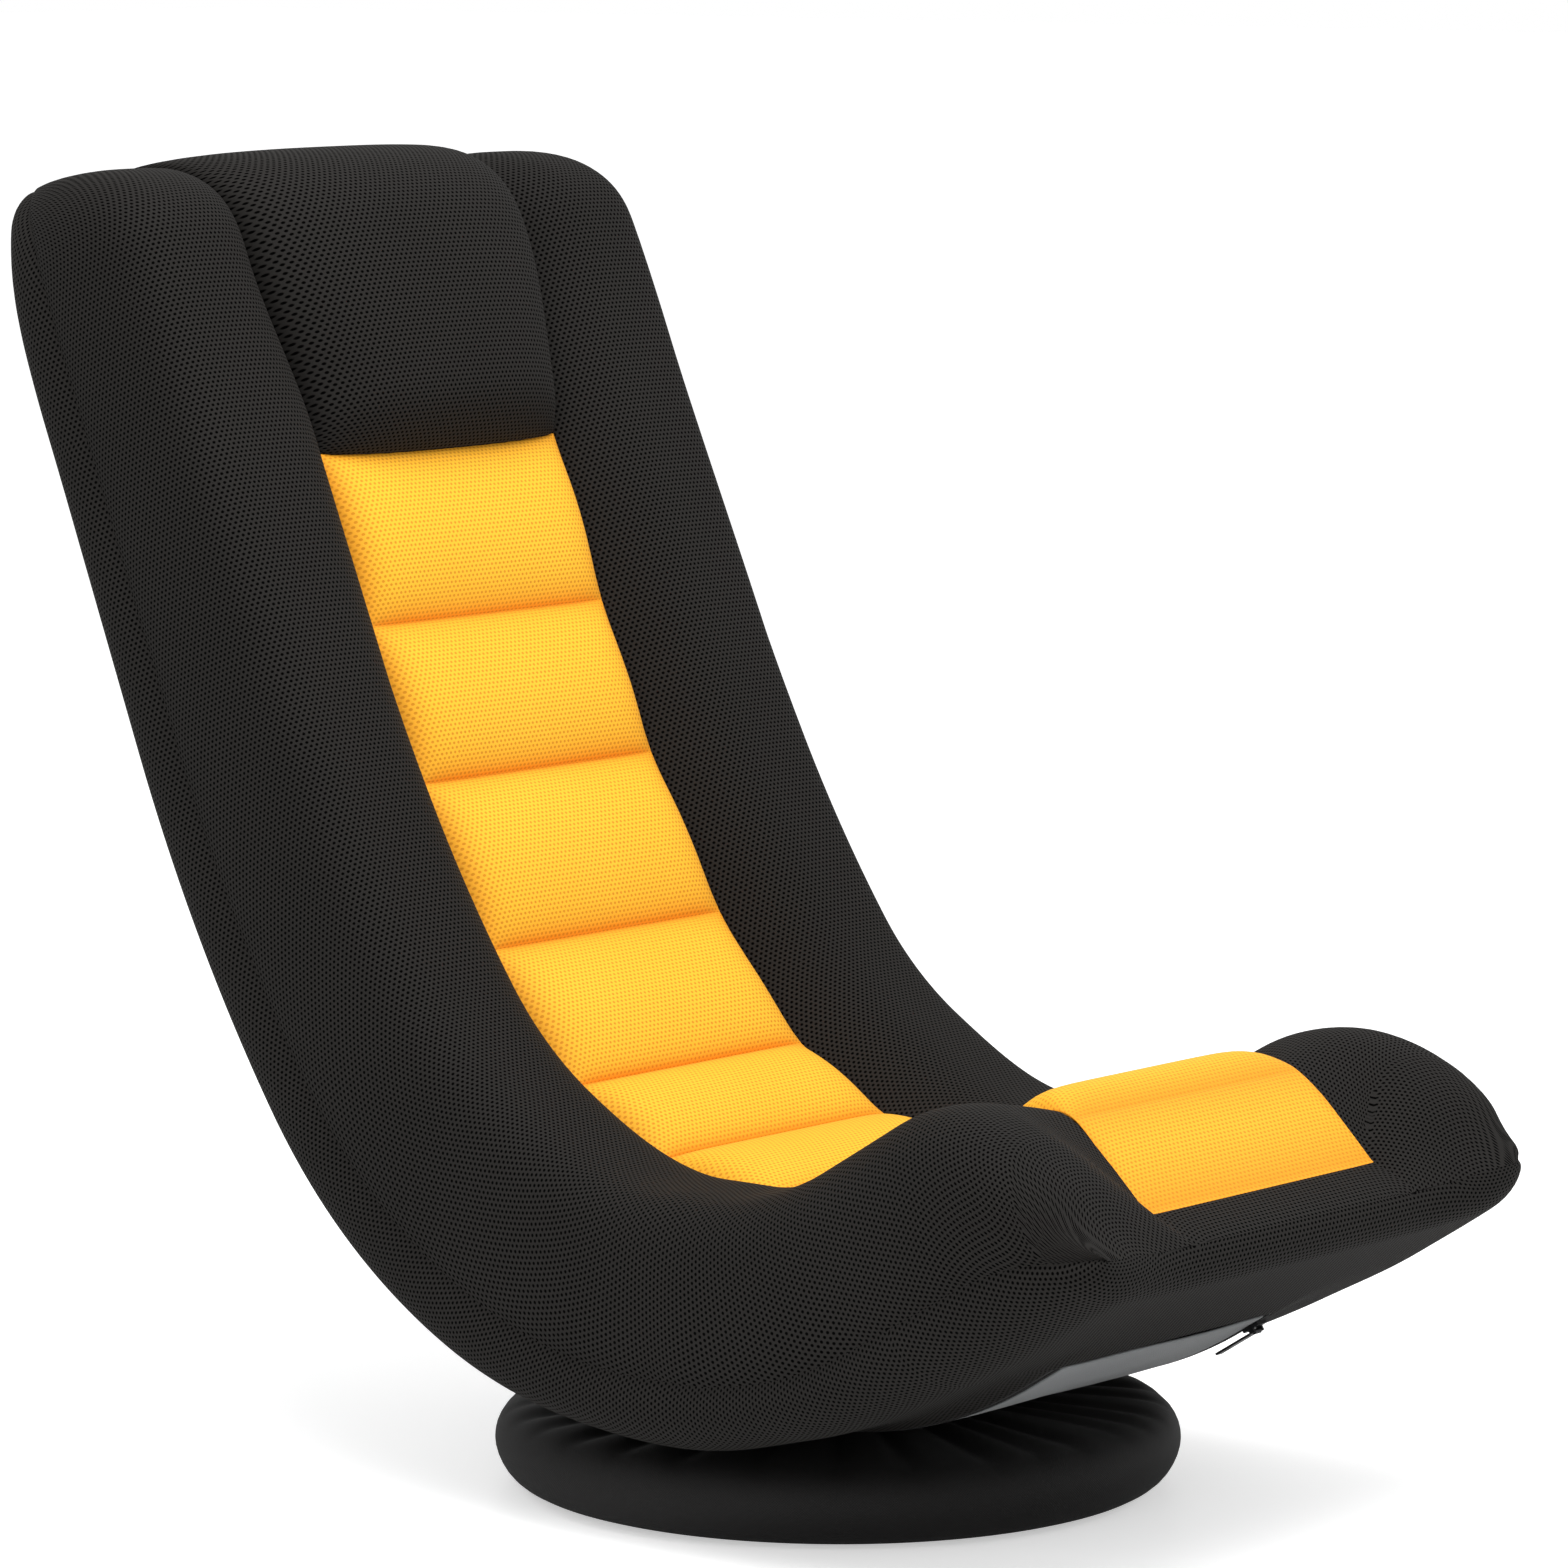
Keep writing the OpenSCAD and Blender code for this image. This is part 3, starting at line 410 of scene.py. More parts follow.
def placed_point(q, x, depth):
    """(s, x, d) of a point of section q at place x, with its depth given as a function of s."""
    s = q + float(set_back(q, x))
    d = float(depth(s))
    valley = math.exp(-((d - NOTCH_D) / NOTCH_H) ** 2) * max(0, 1 - q / NOTCH_RUN)
    s += NOTCH * valley * float(rising(abs(x), NOTCH_SIDE))
    s -= TOP_STEP * float(rising(abs(x), STEP_SIDE) * rising(q, STEP_UP))
    return s, x, d


print("the front strip lies", round(float(set_back(0.0, 0.0)), 4), "m behind the tips")

# %% [markdown]
# The black cover is one closed skin of spacer mesh over the foam. Its section runs from the middle of the
# underside, under the grey panel and out round the bolster, where the side seam draws it in, over the
# bolster's crest and down the inner flank to the insert's seam. A cloth simulation could drape it, but the
# cover is tight and takes the foam's form, so its form is given directly.

# %% Section of the cover
PANEL_HALF = 0.098
ZIP_W = 0.010
PANEL_FRONT = 0.148
PANEL_TOP_GAP = 0.180
PANEL_BED = 0.0026
BED_GAP = 0.0008
bed_x = PANEL_HALF + ZIP_W + BED_GAP
panel_end = s_top - PANEL_TOP_GAP
ROLL_POWER = 4.5
NOSE_ROLL_POWER = 2.6
SIDE_SEAM_DEG = -16.9
SEAM_PULL = 0.0065
ROUND_SIDE_POWER = 2.7
BED_DROP = 0.012
TOP_ROLL_POWER = 3.2
SEAM_SPREAD_DEG = 8.5
SEAM_SHARP = 0.25
ROLL_UP = (0.10, 0.30)
TOP_ROLL_UP = (s_top - 0.16, 0.14)
under_degrees = [-90, -84, -76, -62, -50, -40, -31, -24, -19.5, SIDE_SEAM_DEG]
over_degrees = [-14.3, -9, 0, 10, 20, 31, 42, 54, 66, 74, 83]
flank_steps = 12
FLANK_POWERS = (1.4, 2.6)
FLANK_RUN = 0.16
BULGE_REAR = 0.005
BULGE_UP = (0.40, 0.14)
BULGE_DOWN = (s_top - 0.02, 0.09)
SEAT_TUCK = 0.008
TUCK_UP = (0.09, 0.12)
TUCK_DOWN = (0.37, 0.10)
SKIN_GAP = 0.0006
SEAM_STEP = 0.0004
bed_places = (0.0, 0.045, 0.085, bed_x - SKIN_GAP)
under_insert_places = (0.100, 0.050, 0.0)
EDGE_DROP = 0.35
bulge_places = ((0.0, 0.0), (0.008, 0.35), (0.022, 0.85), (0.040, 1.0))


def cover_section(q):
    """(s, x, d) of the half section at station q, from the underside's middle to the middle of the top."""
    rows = []
    in_panel = PANEL_FRONT - SEAM_STEP < q < panel_end + SEAM_STEP
    bulge = float(BULGE_REAR * rising(q, BULGE_UP) * falling(q, BULGE_DOWN))
    bulge -= float(SEAT_TUCK * rising(q, TUCK_UP) * falling(q, TUCK_DOWN))
    power = float(mixed(NOSE_ROLL_POWER, ROLL_POWER, rising(q, ROLL_UP)))
    power = float(mixed(power, TOP_ROLL_POWER, rising(q, TOP_ROLL_UP)))

    def row(x, depth):
        rows.append(placed_point(q, x, depth))

    bottom = float(lift(np.array(q)))
    top = float(crest(np.array(q)))
    for x in bed_places:
        row(x, lambda s: PANEL_BED if in_panel else bottom)
    for out, share in bulge_places:
        row(bed_x + out, lambda s, share=share: bottom - bulge * share)
    edge = float(half_w(np.array(q)))
    side_x = float(inner_x(q))
    mid = (side_x + edge) / 2
    wide = (edge - side_x) / 2
    for turn in under_degrees + over_degrees:
        rise = math.copysign(abs(math.sin(math.radians(turn))) ** (power / ROUND_SIDE_POWER), turn)
        t = math.asin(rise)
        e = 2 / power
        pull = math.exp(-((turn - SIDE_SEAM_DEG) / SEAM_SPREAD_DEG) ** 2)
        pull = SEAM_PULL * ((1 - SEAM_SHARP) * pull + SEAM_SHARP * (turn == SIDE_SEAM_DEG))
        x = mid + (wide - pull) * math.copysign(abs(math.cos(t)) ** e, math.cos(t))

        def depth(s, t=t):
            centre = (top + bottom) / 2
            tall = (top - bottom) / 2
            down = bulge if t < 0 else 0
            return centre + tall * math.copysign(abs(math.sin(t)) ** e, math.sin(t)) - down * abs(math.sin(t))

        row(x, depth)
    flank_power = mixed(*FLANK_POWERS, q / FLANK_RUN)
    inner = side_x + SKIN_GAP
    for k in range(flank_steps + 1):
        u = k / flank_steps
        x = mid + (inner - mid) * math.sin(u * math.pi / 2)
        v = math.sin(u * math.pi / 2)

        def depth(s, v=v):
            edge_d = seam_d(s) + SEAM_STEP
            return edge_d + (top - edge_d) * (1 - v ** flank_power)

        row(x, depth)
    for x, drop in [(side_x - SEAM_STEP, EDGE_DROP)] + [(x, 1.0) for x in under_insert_places]:
        row(x, lambda s, drop=drop: seam_d(s) - (BED_DROP * drop if s > seams[0] else 0))
    return np.array(rows)


print("a half section has", len(cover_section(s_flat)), "points")

# %% [markdown]
# The weave could be laid out by an unwrap, which would stretch it, so the map is made from real distances.
# Sideways they are counted from the middle of the underside and, above the side seam, from the middle of
# the top. Lengthwise the middle of the cushion shares one run, and near both ends each column of points
# follows its own, so the weave isn't squeezed where the skin turns down.

# %% Stations and cloth map of the cover
NEAR_END = 0.14
FAR_END = 0.11
COVER_STEP = 0.0085
RUN_DEPTH_SHARE = 0.75
end_marks = [0.0, 0.0012, 0.0035, 0.0075, 0.013]
panel_marks = [PANEL_FRONT - 0.0005, PANEL_FRONT - 0.0003, panel_end + 0.0003, panel_end + 0.0005]
front_q = seams[0]
for _ in range(20):
    front_q = seams[0] - float(set_back(front_q, 0))
strip_marks = [front_q - 0.004, front_q - 0.0001, front_q + 0.0010]
cover_marks = sorted(end_marks + strip_marks + panel_marks + [s_top - e for e in end_marks])
cover_s = stations(cover_marks, COVER_STEP)
half = np.array([cover_section(q) for q in cover_s])
side_seam = len(bed_places) + len(bulge_places) + len(under_degrees) - 1
half_points = at(half[:, :, 0], half[:, :, 1], half[:, :, 2])
count = half_points.shape[1]
across = along(half_points, 1)
centre_run = along(at(cover_s, 0, RUN_DEPTH_SHARE * body_t(cover_s))[:, None, :], 0)[:, 0]
upper_u = across - across[:, -1:]
column_run = along(half_points, 0)
near_end = np.argmin(np.abs(cover_s - NEAR_END))
far_end = np.argmin(np.abs(cover_s - (s_top - FAR_END)))


def cloth_run(run):
    """Follows one shared run in the middle and each column's own run at the two ends."""
    out = np.repeat(run[:, None], count, 1)
    for edge, part in ((near_end, slice(0, near_end)), (far_end, slice(far_end, None))):
        out[part] = run[edge] + column_run[part] - column_run[edge]
    return out


upper_v = cloth_run(centre_run)
lower_v = cloth_run(cover_s)
print("cover", len(cover_s), "stations")

# %% [markdown]
# The skin is the mirrored half sections, one after the other, closed all round and then refined. The
# mirrored half takes the same map with the sign of u turned, so the weave is the same on both sides.

# %% The cover
faces, uvs = [], []
verts = np.concatenate([half_points, half_points[:, ::-1] * np.array([-1, 1, 1])], 1)
ring = verts.shape[1]
for i in range(len(cover_s) - 1):
    for j in range(ring):
        k = (j + 1) % ring
        face = [(i, j), (i, k), (i + 1, k), (i + 1, j)]
        faces.append([a * ring + b for a, b in face])
        a, b = (j, k) if j < count else (ring - 1 - j, ring - 1 - k)
        below = max(min(a, count - 1), min(b % ring, count - 1)) <= side_seam
        uv = []
        for g, h in face:
            w = h if h < count else ring - 1 - h
            sign = -1 if h >= count else 1
            u, v = (across, lower_v) if below else (upper_u, upper_v)
            uv.append((sign * u[g, w], v[g, w]))
        uvs.append(uv)
cover = finish_mesh(new_object("cover", verts.reshape(-1, 3), faces, uvs))
print("cover", len(cover.data.polygons), "faces")

# %% [markdown]
# The yellow insert is quilted: seams run across it, and the foam puffs up between them. Sculpting would do
# it too, but the channels repeat, so one formula makes them all. The puff follows the root of a sine, which
# rises steeply out of each seam and flattens on top. The front end flares a little over the nose. A point
# attribute marks how near a seam or a side edge each point lies, for painted shade: a darker orange where
# the cloth dips.

# %% The sewn insert
PUFF = 0.017
PUFF_POWER = 0.55
FRONT_FLARE = 0.007
FLARE_MIX = (0.6, 0.4)
FRONT_PUFF_SHARE = 0.15
FRONT_LAP = 0.0018
CHANNEL_STEPS = 16
SEAM_DIP = 0.0006
INSERT_LAP = 0.0002
INSERT_T = 0.006
INSERT_INSET = 0.0012
FRONT_T_SHARE = 0.25
FRONT_T_RUN = 0.05
PUFF_EDGE_POWER = 12
DIP_EDGE_POWER = 9
SEAM_SHADE = 0.008
SIDE_SHADE = 0.009
insert_places = both_sides([-1, -0.992, -0.975, -0.945, -0.9, -0.82, -0.7, -0.5, -0.25, 0])


def insert_grid():
    rows, painted_seam_shade = [], []
    for k in range(len(seams) - 1):
        a, b = seams[k], seams[k + 1]
        puff = PUFF * (FRONT_PUFF_SHARE if k == 0 else 1.0)
        for i in range(CHANNEL_STEPS + (k == len(seams) - 2)):
            tau = (1 - math.cos(math.pi * i / CHANNEL_STEPS)) / 2
            s = a + (b - a) * tau - FRONT_LAP * (k == 0) * (1 - tau)
            swell = math.sin(math.pi * min(1, tau)) ** PUFF_POWER if 0 < tau < 1 else 0.0
            ahead = float(np.clip((seams[1] - s) / (seams[1] - seams[0]), 0, 1))
            wide = insert_x + FRONT_FLARE * (FLARE_MIX[0] * ahead + FLARE_MIX[1] * ahead ** 2)
            edge = np.abs(insert_places) ** DIP_EDGE_POWER
            seam_depth = float(seam_d(np.array(s)))
            d = seam_depth + puff * swell * (1 - np.abs(insert_places) ** PUFF_EDGE_POWER)
            d = d - SEAM_DIP * (1 - swell) * (1 - edge)
            x = insert_places * (wide + INSERT_LAP)
            top = at(s, x, d)
            base = seam_depth - INSERT_T * min(1.0, FRONT_T_SHARE + (s - seams[0]) / FRONT_T_RUN)
            bottom = at(s, insert_places[::-1] * (wide - INSERT_INSET), base)
            rows.append(np.concatenate([top, bottom]))
            # Painted shade: the share of darker orange falls off away from the seams and the side edges.
            near = math.exp(-min(abs(s - t) for t in (a, b)) / SEAM_SHADE)
            painted_side_shade = np.exp(-(1 - np.abs(insert_places)) * wide / SIDE_SHADE)
            painted_seam_shade.append(np.maximum(near, painted_side_shade))
    return np.array(rows), np.array(painted_seam_shade)


insert_points, insert_seam_shade = insert_grid()
insert_u, insert_v = wrapped_map(insert_points, insert_places)
insert = grid_object("insert", insert_points, insert_u, insert_v, closed=True, cap=True, turned=True)
# This attribute carries the painted shade; the hidden underside gets it in full.
tint = insert.data.attributes.new("seam", "FLOAT", "POINT")
seam_shade_values = np.concatenate([insert_seam_shade, insert_seam_shade * 0 + 1], 1)
tint.data.foreach_set("value", seam_shade_values.ravel().astype(np.float32))
finish_mesh(insert, 1)
print("insert", len(insert.data.polygons), "faces")

# %% [markdown]
# The headrest is a separate pillow sewn in above the insert. It could be an inflated cloth, but it is sewn
# down on three sides and keeps its form. Its lower edge rolls over the top of the yellow cloth, its sides
# sink into grooves beside the bolsters, and its upper end wraps over the top of the back.

# %% The headrest pillow
SHEET_STEP = 0.008
HEAD_PROUD = 0.020
HEAD_PROUD_POWER = 0.6
HEAD_RISE = 0.030
HEAD_POWERS = (3.2, 2.2)
HEAD_ROLL = 0.010
HEAD_SINK = 0.006
HEAD_END = 0.0336
HEAD_END_GAP = 0.002
HEAD_T = 0.016
HEAD_LEAST_T = 0.001
HEAD_LEAD = 0.0005
HEAD_OVER = 0.002
HEAD_INSET = 0.003
HEAD_LAP = 0.001
head_start = seams[-1] - HEAD_LAP
head_places = both_sides([-1, -0.99, -0.965, -0.92, -0.85, -0.75, -0.6, -0.4, -0.2, 0])


def head_section(q):
    s = np.array(q)
    run = (q - head_start) / (s_top - head_start)
    bump = HEAD_PROUD * math.sin(math.pi * min(1, max(0, run))) ** HEAD_PROUD_POWER
    full = float(eased((s - head_start + HEAD_LEAD) / HEAD_RISE, ROUND_POWER))
    base = float(seam_d(s))
    top = base + (float(crest(s)) + bump - base) * full
    profile = (1 - np.abs(head_places) ** HEAD_POWERS[0]) ** (1 / HEAD_POWERS[1])
    roll = HEAD_ROLL * (1 - full)
    d = base - HEAD_SINK + (top - base + HEAD_SINK) * profile
    wide = float(inner_x(q)) + HEAD_OVER * float(top_ease(s))
    upper = at(q - roll * profile, head_places * wide, d)
    floor = float(lift(s)) + HEAD_END_GAP if q > s_top - HEAD_END else base - HEAD_T
    lower = at(q, head_places[::-1] * (wide - HEAD_INSET), min(floor, base - HEAD_LEAST_T))
    return np.concatenate([upper, lower])


head_marks = [head_start, head_start + 0.002, head_start + 0.006] + [s_top - e for e in end_marks[::-1]]
head_s = stations(head_marks, SHEET_STEP)
head_points = np.array([head_section(q) for q in head_s])
head_u, head_v = wrapped_map(head_points, head_places)
pillow = grid_object("headrest", head_points, head_u, head_v, closed=True, cap=True, turned=True)
finish_mesh(pillow, 1)
print("headrest", len(pillow.data.polygons), "faces")

# %% [markdown]
# A grey non-woven panel closes the underside and the rear, held by a zip on each side. It is a thin sheet
# with an opening over the base, where the steel bracket comes through. A grid with skipped faces leaves
# that opening, and the thickness comes from a modifier, which is simpler than modelling two faces. Its ends
# bow slightly between the zips.

# %% The grey panel
OPENING = 0.062
PANEL_BOW = 0.004
BOW_RUN = 0.06
PANEL_SAG = 0.0012
PANEL_RIPPLE = 0.0005
RIPPLE_RATE = 61
RIPPLE_LEAN = 4
PANEL_D = 0.0006
PANEL_T = 0.0012
panel_run = panel_end - PANEL_FRONT
panel_s = stations([PANEL_FRONT, PANEL_FRONT + 0.004, panel_end - 0.004, panel_end], SHEET_STEP)
panel_places = both_sides([-1, -0.97, -0.9, -0.78, -0.6327, -0.45, -0.25, 0])


def panel_surface(depth):
    rows = []
    for s in panel_s:
        x = panel_places * PANEL_HALF
        bow = PANEL_BOW * (1 - panel_places ** 2)
        shift = bow * (1 - (s - PANEL_FRONT) / BOW_RUN) if s < PANEL_FRONT + BOW_RUN else 0
        shift = -bow * (1 - (panel_end - s) / BOW_RUN) if s > panel_end - BOW_RUN else shift
        sag = PANEL_SAG * (1 - np.abs(panel_places) ** 4) * math.sin(math.pi * (s - PANEL_FRONT) / panel_run)
        ripple = PANEL_RIPPLE * np.sin(s * RIPPLE_RATE + RIPPLE_LEAN * panel_places) * (1 - panel_places ** 4)
        rows.append(at(s + shift, x, depth - sag * (s > s_bend) + ripple))
    return np.array(rows)


def over_base(i, j):
    p = panel_top[i:i + 2, j:j + 2].reshape(-1, 3).mean(0)
    return abs(p[0]) < OPENING and abs(p[1]) < OPENING


panel_top = panel_surface(PANEL_D)
panel_u = np.broadcast_to(panel_places * PANEL_HALF, panel_top.shape[:2])
panel_v = np.broadcast_to(panel_s[:, None], panel_top.shape[:2])
panel = grid_object("rear_panel", panel_top, panel_u, panel_v, skip=over_base)
thick = panel.modifiers.new("thickness", "SOLIDIFY")
thick.thickness = PANEL_T
thick.offset = 0
apply_modifiers(panel)
finish_mesh(panel, 0)
print("panel", len(panel.data.polygons), "faces")

# %% [markdown]
# Each zip is a woven tape with a ridge of coil teeth down its middle. An array modifier along a curve could
# repeat one tooth, but a loop sets each tooth on the side line, however it bends. The teeth are small
# blocks across the tape.

# %% The zips
TAPE_D = 0.0009
TAPE_T = 0.0008
TAPE_GAP = 0.0003
TOOTH_PITCH = 0.0018
TOOTH_W = 0.0032
TOOTH_H = 0.0011
TOOTH_D = 0.0005
TOOTH_SHARE = 0.62


def box_at(s, x, d, length, width, height):
    """Eight corners and six faces of a block that lies along the side line."""
    signs = [(i, j, k) for i in (-1, 1) for j in (-1, 1) for k in (-1, 1)]
    corners = [at(s + i * length / 2, x + j * width / 2, d + k * height / 2) for i, j, k in signs]
    quads = [(0, 1, 3, 2), (4, 6, 7, 5), (0, 4, 5, 1), (2, 3, 7, 6), (0, 2, 6, 4), (1, 5, 7, 3)]
    return corners, quads


def zip_strip(side):
    verts, faces = [], []
    x0 = side * (PANEL_HALF + TAPE_GAP)
    x1 = side * (PANEL_HALF + TAPE_GAP + ZIP_W)
    run = stations([PANEL_FRONT, panel_end], SHEET_STEP)
    for s in run:
        for x, d in ((x0, TAPE_D), (x1, TAPE_D), (x1, TAPE_D + TAPE_T), (x0, TAPE_D + TAPE_T)):
            verts.append(at(s, x, d))
    for i in range(len(run) - 1):
        for j in range(4):
            k = (j + 1) % 4
            faces.append((4 * i + j, 4 * i + k, 4 * i + 4 + k, 4 * i + 4 + j))
    faces += [(0, 3, 2, 1), tuple(range(len(verts) - 4, len(verts)))]
    middle = (x0 + x1) / 2
    for i in range(int(panel_run / TOOTH_PITCH)):
        s = PANEL_FRONT + (i + 0.5) * TOOTH_PITCH
        corners, quads = box_at(s, middle, TOOTH_D, TOOTH_PITCH * TOOTH_SHARE, TOOTH_W, TOOTH_H)
        faces += [tuple(len(verts) + c for c in q) for q in quads]
        verts += corners
    strip = new_object("zip_left" if side < 0 else "zip_right", verts, faces)
    return finish_mesh(strip, 0, smooth_shade=False, weld=0.000001)


zips = [zip_strip(side) for side in (-1, 1)]
print("zips", [len(z.data.polygons) for z in zips])

# %% [markdown]
# The round base has a stretch cover drawn tight round its rim. The spare cloth gathers in folds on the flat
# top, which run towards the middle. A simulation would place such folds by chance, so each fold is a narrow
# wave round the circle with its own width and depth, faded in from the rim.

# %% The base cover
BASE_R = 0.213
COVER_H = 0.057
FOLDS = 30
FOLD_DEPTH = 0.0056
FOLD_SPREAD = (0.7, 1.3)
FOLD_SIZE = (0.35, 1.0)
FOLD_W = (0.028, 0.026)
rim_r_shares = [
    0.817, 0.856, 0.892, 0.930, 0.962, 0.986, 1.0, 1.0, 0.99, 0.965, 0.925, 0.883, 0.82, 0.751, 0.66, 0.563,
    0.46, 0.38,
]
rim_z_shares = [
    0.06, 0.034, 0.03, 0.06, 0.14, 0.27, 0.42, 0.54, 0.66, 0.785, 0.86, 0.9, 0.93, 0.95, 0.97, 0.985, 0.996,
    1.0,
]
fold_shares = [0, 0, 0, 0, 0, 0, 0, 0, 0, 0.12, 0.4, 0.7, 0.95, 1, 1, 0.9, 0.75, 0.6]
SKIN = 0.0016
INNER_SHARE = 0.985
SKIN_FROM_Z = 0.012
HEM_Z = 0.0017
MAP_R = 0.2
rng = np.random.default_rng(7)
ROUND_STEPS = 432
turns = np.linspace(0, 2 * math.pi, ROUND_STEPS, endpoint=False)
fold_places = np.cumsum(rng.uniform(*FOLD_SPREAD, FOLDS))
fold_places = fold_places / fold_places[-1] * 2 * math.pi
fold_sizes = rng.uniform(*FOLD_SIZE, FOLDS)
fold_wave = np.zeros(ROUND_STEPS)
for place, size in zip(fold_places, fold_sizes):
    gap = np.angle(np.exp(1j * (turns - place)))
    wide = FOLD_W[0] + FOLD_W[1] * size
    fold_wave = np.maximum(fold_wave, size * np.exp(-(gap / wide) ** 2))
base_rows = []
for r, z, f in zip(rim_r_shares, rim_z_shares, fold_shares):
    dip = f * FOLD_DEPTH * fold_wave
    x, y = r * BASE_R * np.cos(turns), r * BASE_R * np.sin(turns)
    base_rows.append(np.stack([x, y, z * COVER_H - dip], -1))
outer = np.array(base_rows).transpose(1, 0, 2)
back_way = outer[:, ::-1]
drop = np.array([0, 0, SKIN]) * (back_way[:, :, 2:] > SKIN_FROM_Z)
inner = back_way * np.array([INNER_SHARE, INNER_SHARE, 1]) - drop
base_points = np.concatenate([outer, inner], 1)
base_points[:, :, 2] = np.maximum(base_points[:, :, 2], HEM_Z)
loop = np.concatenate([base_points, base_points[:1]], 0)
base_u = np.concatenate([turns, [2 * math.pi]])[:, None] * MAP_R + np.zeros(loop.shape[:2])
base_v = along(loop, 1)
base_cover = grid_object("base_cloth", loop, base_u, base_v, closed=True)
finish_mesh(base_cover, 1)
print("base cloth", len(base_cover.data.polygons), "faces")

# %% [markdown]
# Under the foam, webbing bands are wrapped round both side rails and carry the sitter's weight. Each band
# is a flat loop of two straight runs and two half circles. A bevelled curve would do too, but quads keep
# its edges square.

# %% The webbing bands
RAIL_X = 0.150
RAIL_D = 0.065
TUBE_R = 0.0095
BAND_GAP = 0.0009
BAND_T = 0.0016
BAND_W = 0.030
BEND_STEPS = 8
seat_band_shares = [0.17, 0.3, 0.41, 0.77]
back_band_shares = [0.26, 0.39, 0.52, 0.64]


def band(verts, faces, s):
    path = []
    for side, start in ((1, 90), (-1, 270)):
        for k in range(BEND_STEPS + 1):
            t = math.radians(start - 180 * k / BEND_STEPS)
            path.append((side * RAIL_X, math.cos(t), math.sin(t)))
    a = float(slope(np.array(s)))
    centre = at(s, 0, RAIL_D)
    tangent = np.array([0, math.cos(a), math.sin(a)])
    up = np.array([0, -math.sin(a), math.cos(a)])
    first = len(verts)
    for radius in (TUBE_R + BAND_GAP, TUBE_R + BAND_GAP + BAND_T):
        for half_side in (-BAND_W / 2, BAND_W / 2):
            for x, c, h in path:
                spot = centre + np.array([x + radius * c, 0, 0]) + up * radius * h
                verts.append(spot + tangent * half_side)
    count_path = len(path)
    for j in range(count_path):
        k = (j + 1) % count_path
        low_a, low_b, high_a, high_b = (first + q * count_path for q in range(4))
        faces.append((low_a + j, low_a + k, low_b + k, low_b + j))
        faces.append((high_a + k, high_a + j, high_b + j, high_b + k))
        faces.append((low_a + k, low_a + j, high_a + j, high_a + k))
        faces.append((low_b + j, low_b + k, high_b + k, high_b + j))


def bands(name, places):
    verts, faces = [], []
    for s in places:
        band(verts, faces, s)
    return finish_mesh(new_object(name, verts, faces), 0, smooth_shade=False)


seat_bands = bands("seat_webbing", [q * s_bend for q in seat_band_shares])
back_bands = bands("back_webbing", [s_bend + q * (s_top - s_bend) for q in back_band_shares])
print("webbing bands", len(seat_band_shares), "under the seat and", len(back_band_shares), "behind the back")

# %% [markdown]
# All finishes are procedural node trees, so nothing is read from an image. Each helper adds one node and
# joins it to the rest. The shader editor could do the same by hand, but code keeps every value in sight.

# %% Helpers for node trees
def clean_material(name):
    mat = bpy.data.materials.new(name)
    mat.use_nodes = True
    tree = mat.node_tree
    tree.nodes.clear()
    out = tree.nodes.new("ShaderNodeOutputMaterial")
    shader = tree.nodes.new("ShaderNodeBsdfPrincipled")
    tree.links.new(shader.outputs["BSDF"], out.inputs["Surface"])
    return mat, tree, shader


def fix(node, **values):
    """Sets sockets by name, with _ for a blank."""
    for name, value in values.items():
        node.inputs[name.replace("_", " ")].default_value = value


def math_node(tree, operation, a, b):
    node = tree.nodes.new("ShaderNodeMath")
    node.operation = operation
    for socket, value in zip(node.inputs, (a, b)):
        if isinstance(value, (int, float)):
            socket.default_value = value
        else:
            tree.links.new(value, socket)
    return node.outputs[0]


def vector_node(tree, operation, a, b=None):
    node = tree.nodes.new("ShaderNodeVectorMath")
    node.operation = operation
    for socket, value in zip(node.inputs, (a, b)):
        if value is None:
            continue
        if isinstance(value, tuple):
            socket.default_value = value
        else:
            tree.links.new(value, socket)
    return node.outputs["Value" if operation == "LENGTH" else "Vector"]


def cloth_map(tree):
    node = tree.nodes.new("ShaderNodeUVMap")
    node.uv_map = "cloth"
    return node.outputs["UV"]


def object_place(tree):
    return tree.nodes.new("ShaderNodeTexCoord").outputs["Object"]

# %% [markdown]
# The mesh cloth is a field of small oval holes in staggered rows. A voronoi texture sets its cells at
# random or in a plain square grid, so two such grids, one shifted by half a cell, give the distance to the
# nearest hole instead. Noise varies the colours, bump dents the surface, and sheen is the soft light on
# cloth.

# %% Holes, noise, colour, bump and sheen
def holes(tree, pitch, aspect, radius, softness):
    """1 inside a hole and 0 on the cloth between, for staggered oval holes."""
    scaled = vector_node(tree, "MULTIPLY", cloth_map(tree), (1 / pitch[0], 1 / pitch[1], 0))
    near = []
    for shift in ((0, 0, 0), (0.5, 0.5, 0)):
        cell = vector_node(tree, "FRACTION", vector_node(tree, "ADD", scaled, shift))
        offset = vector_node(tree, "SUBTRACT", cell, (0.5, 0.5, 0))
        near.append(vector_node(tree, "LENGTH", vector_node(tree, "MULTIPLY", offset, aspect)))
    distance = math_node(tree, "MINIMUM", near[0], near[1])
    ramp = tree.nodes.new("ShaderNodeMapRange")
    ramp.interpolation_type = "SMOOTHSTEP"
    tree.links.new(distance, ramp.inputs["Value"])
    fix(ramp, From_Min=radius - softness, From_Max=radius + softness, To_Min=1, To_Max=0)
    return ramp.outputs["Result"]


def noise(tree, scale, detail=2.0, where=None):
    node = tree.nodes.new("ShaderNodeTexNoise")
    fix(node, Scale=scale, Detail=detail)
    tree.links.new(where if where is not None else object_place(tree), node.inputs["Vector"])
    return node.outputs["Fac"]


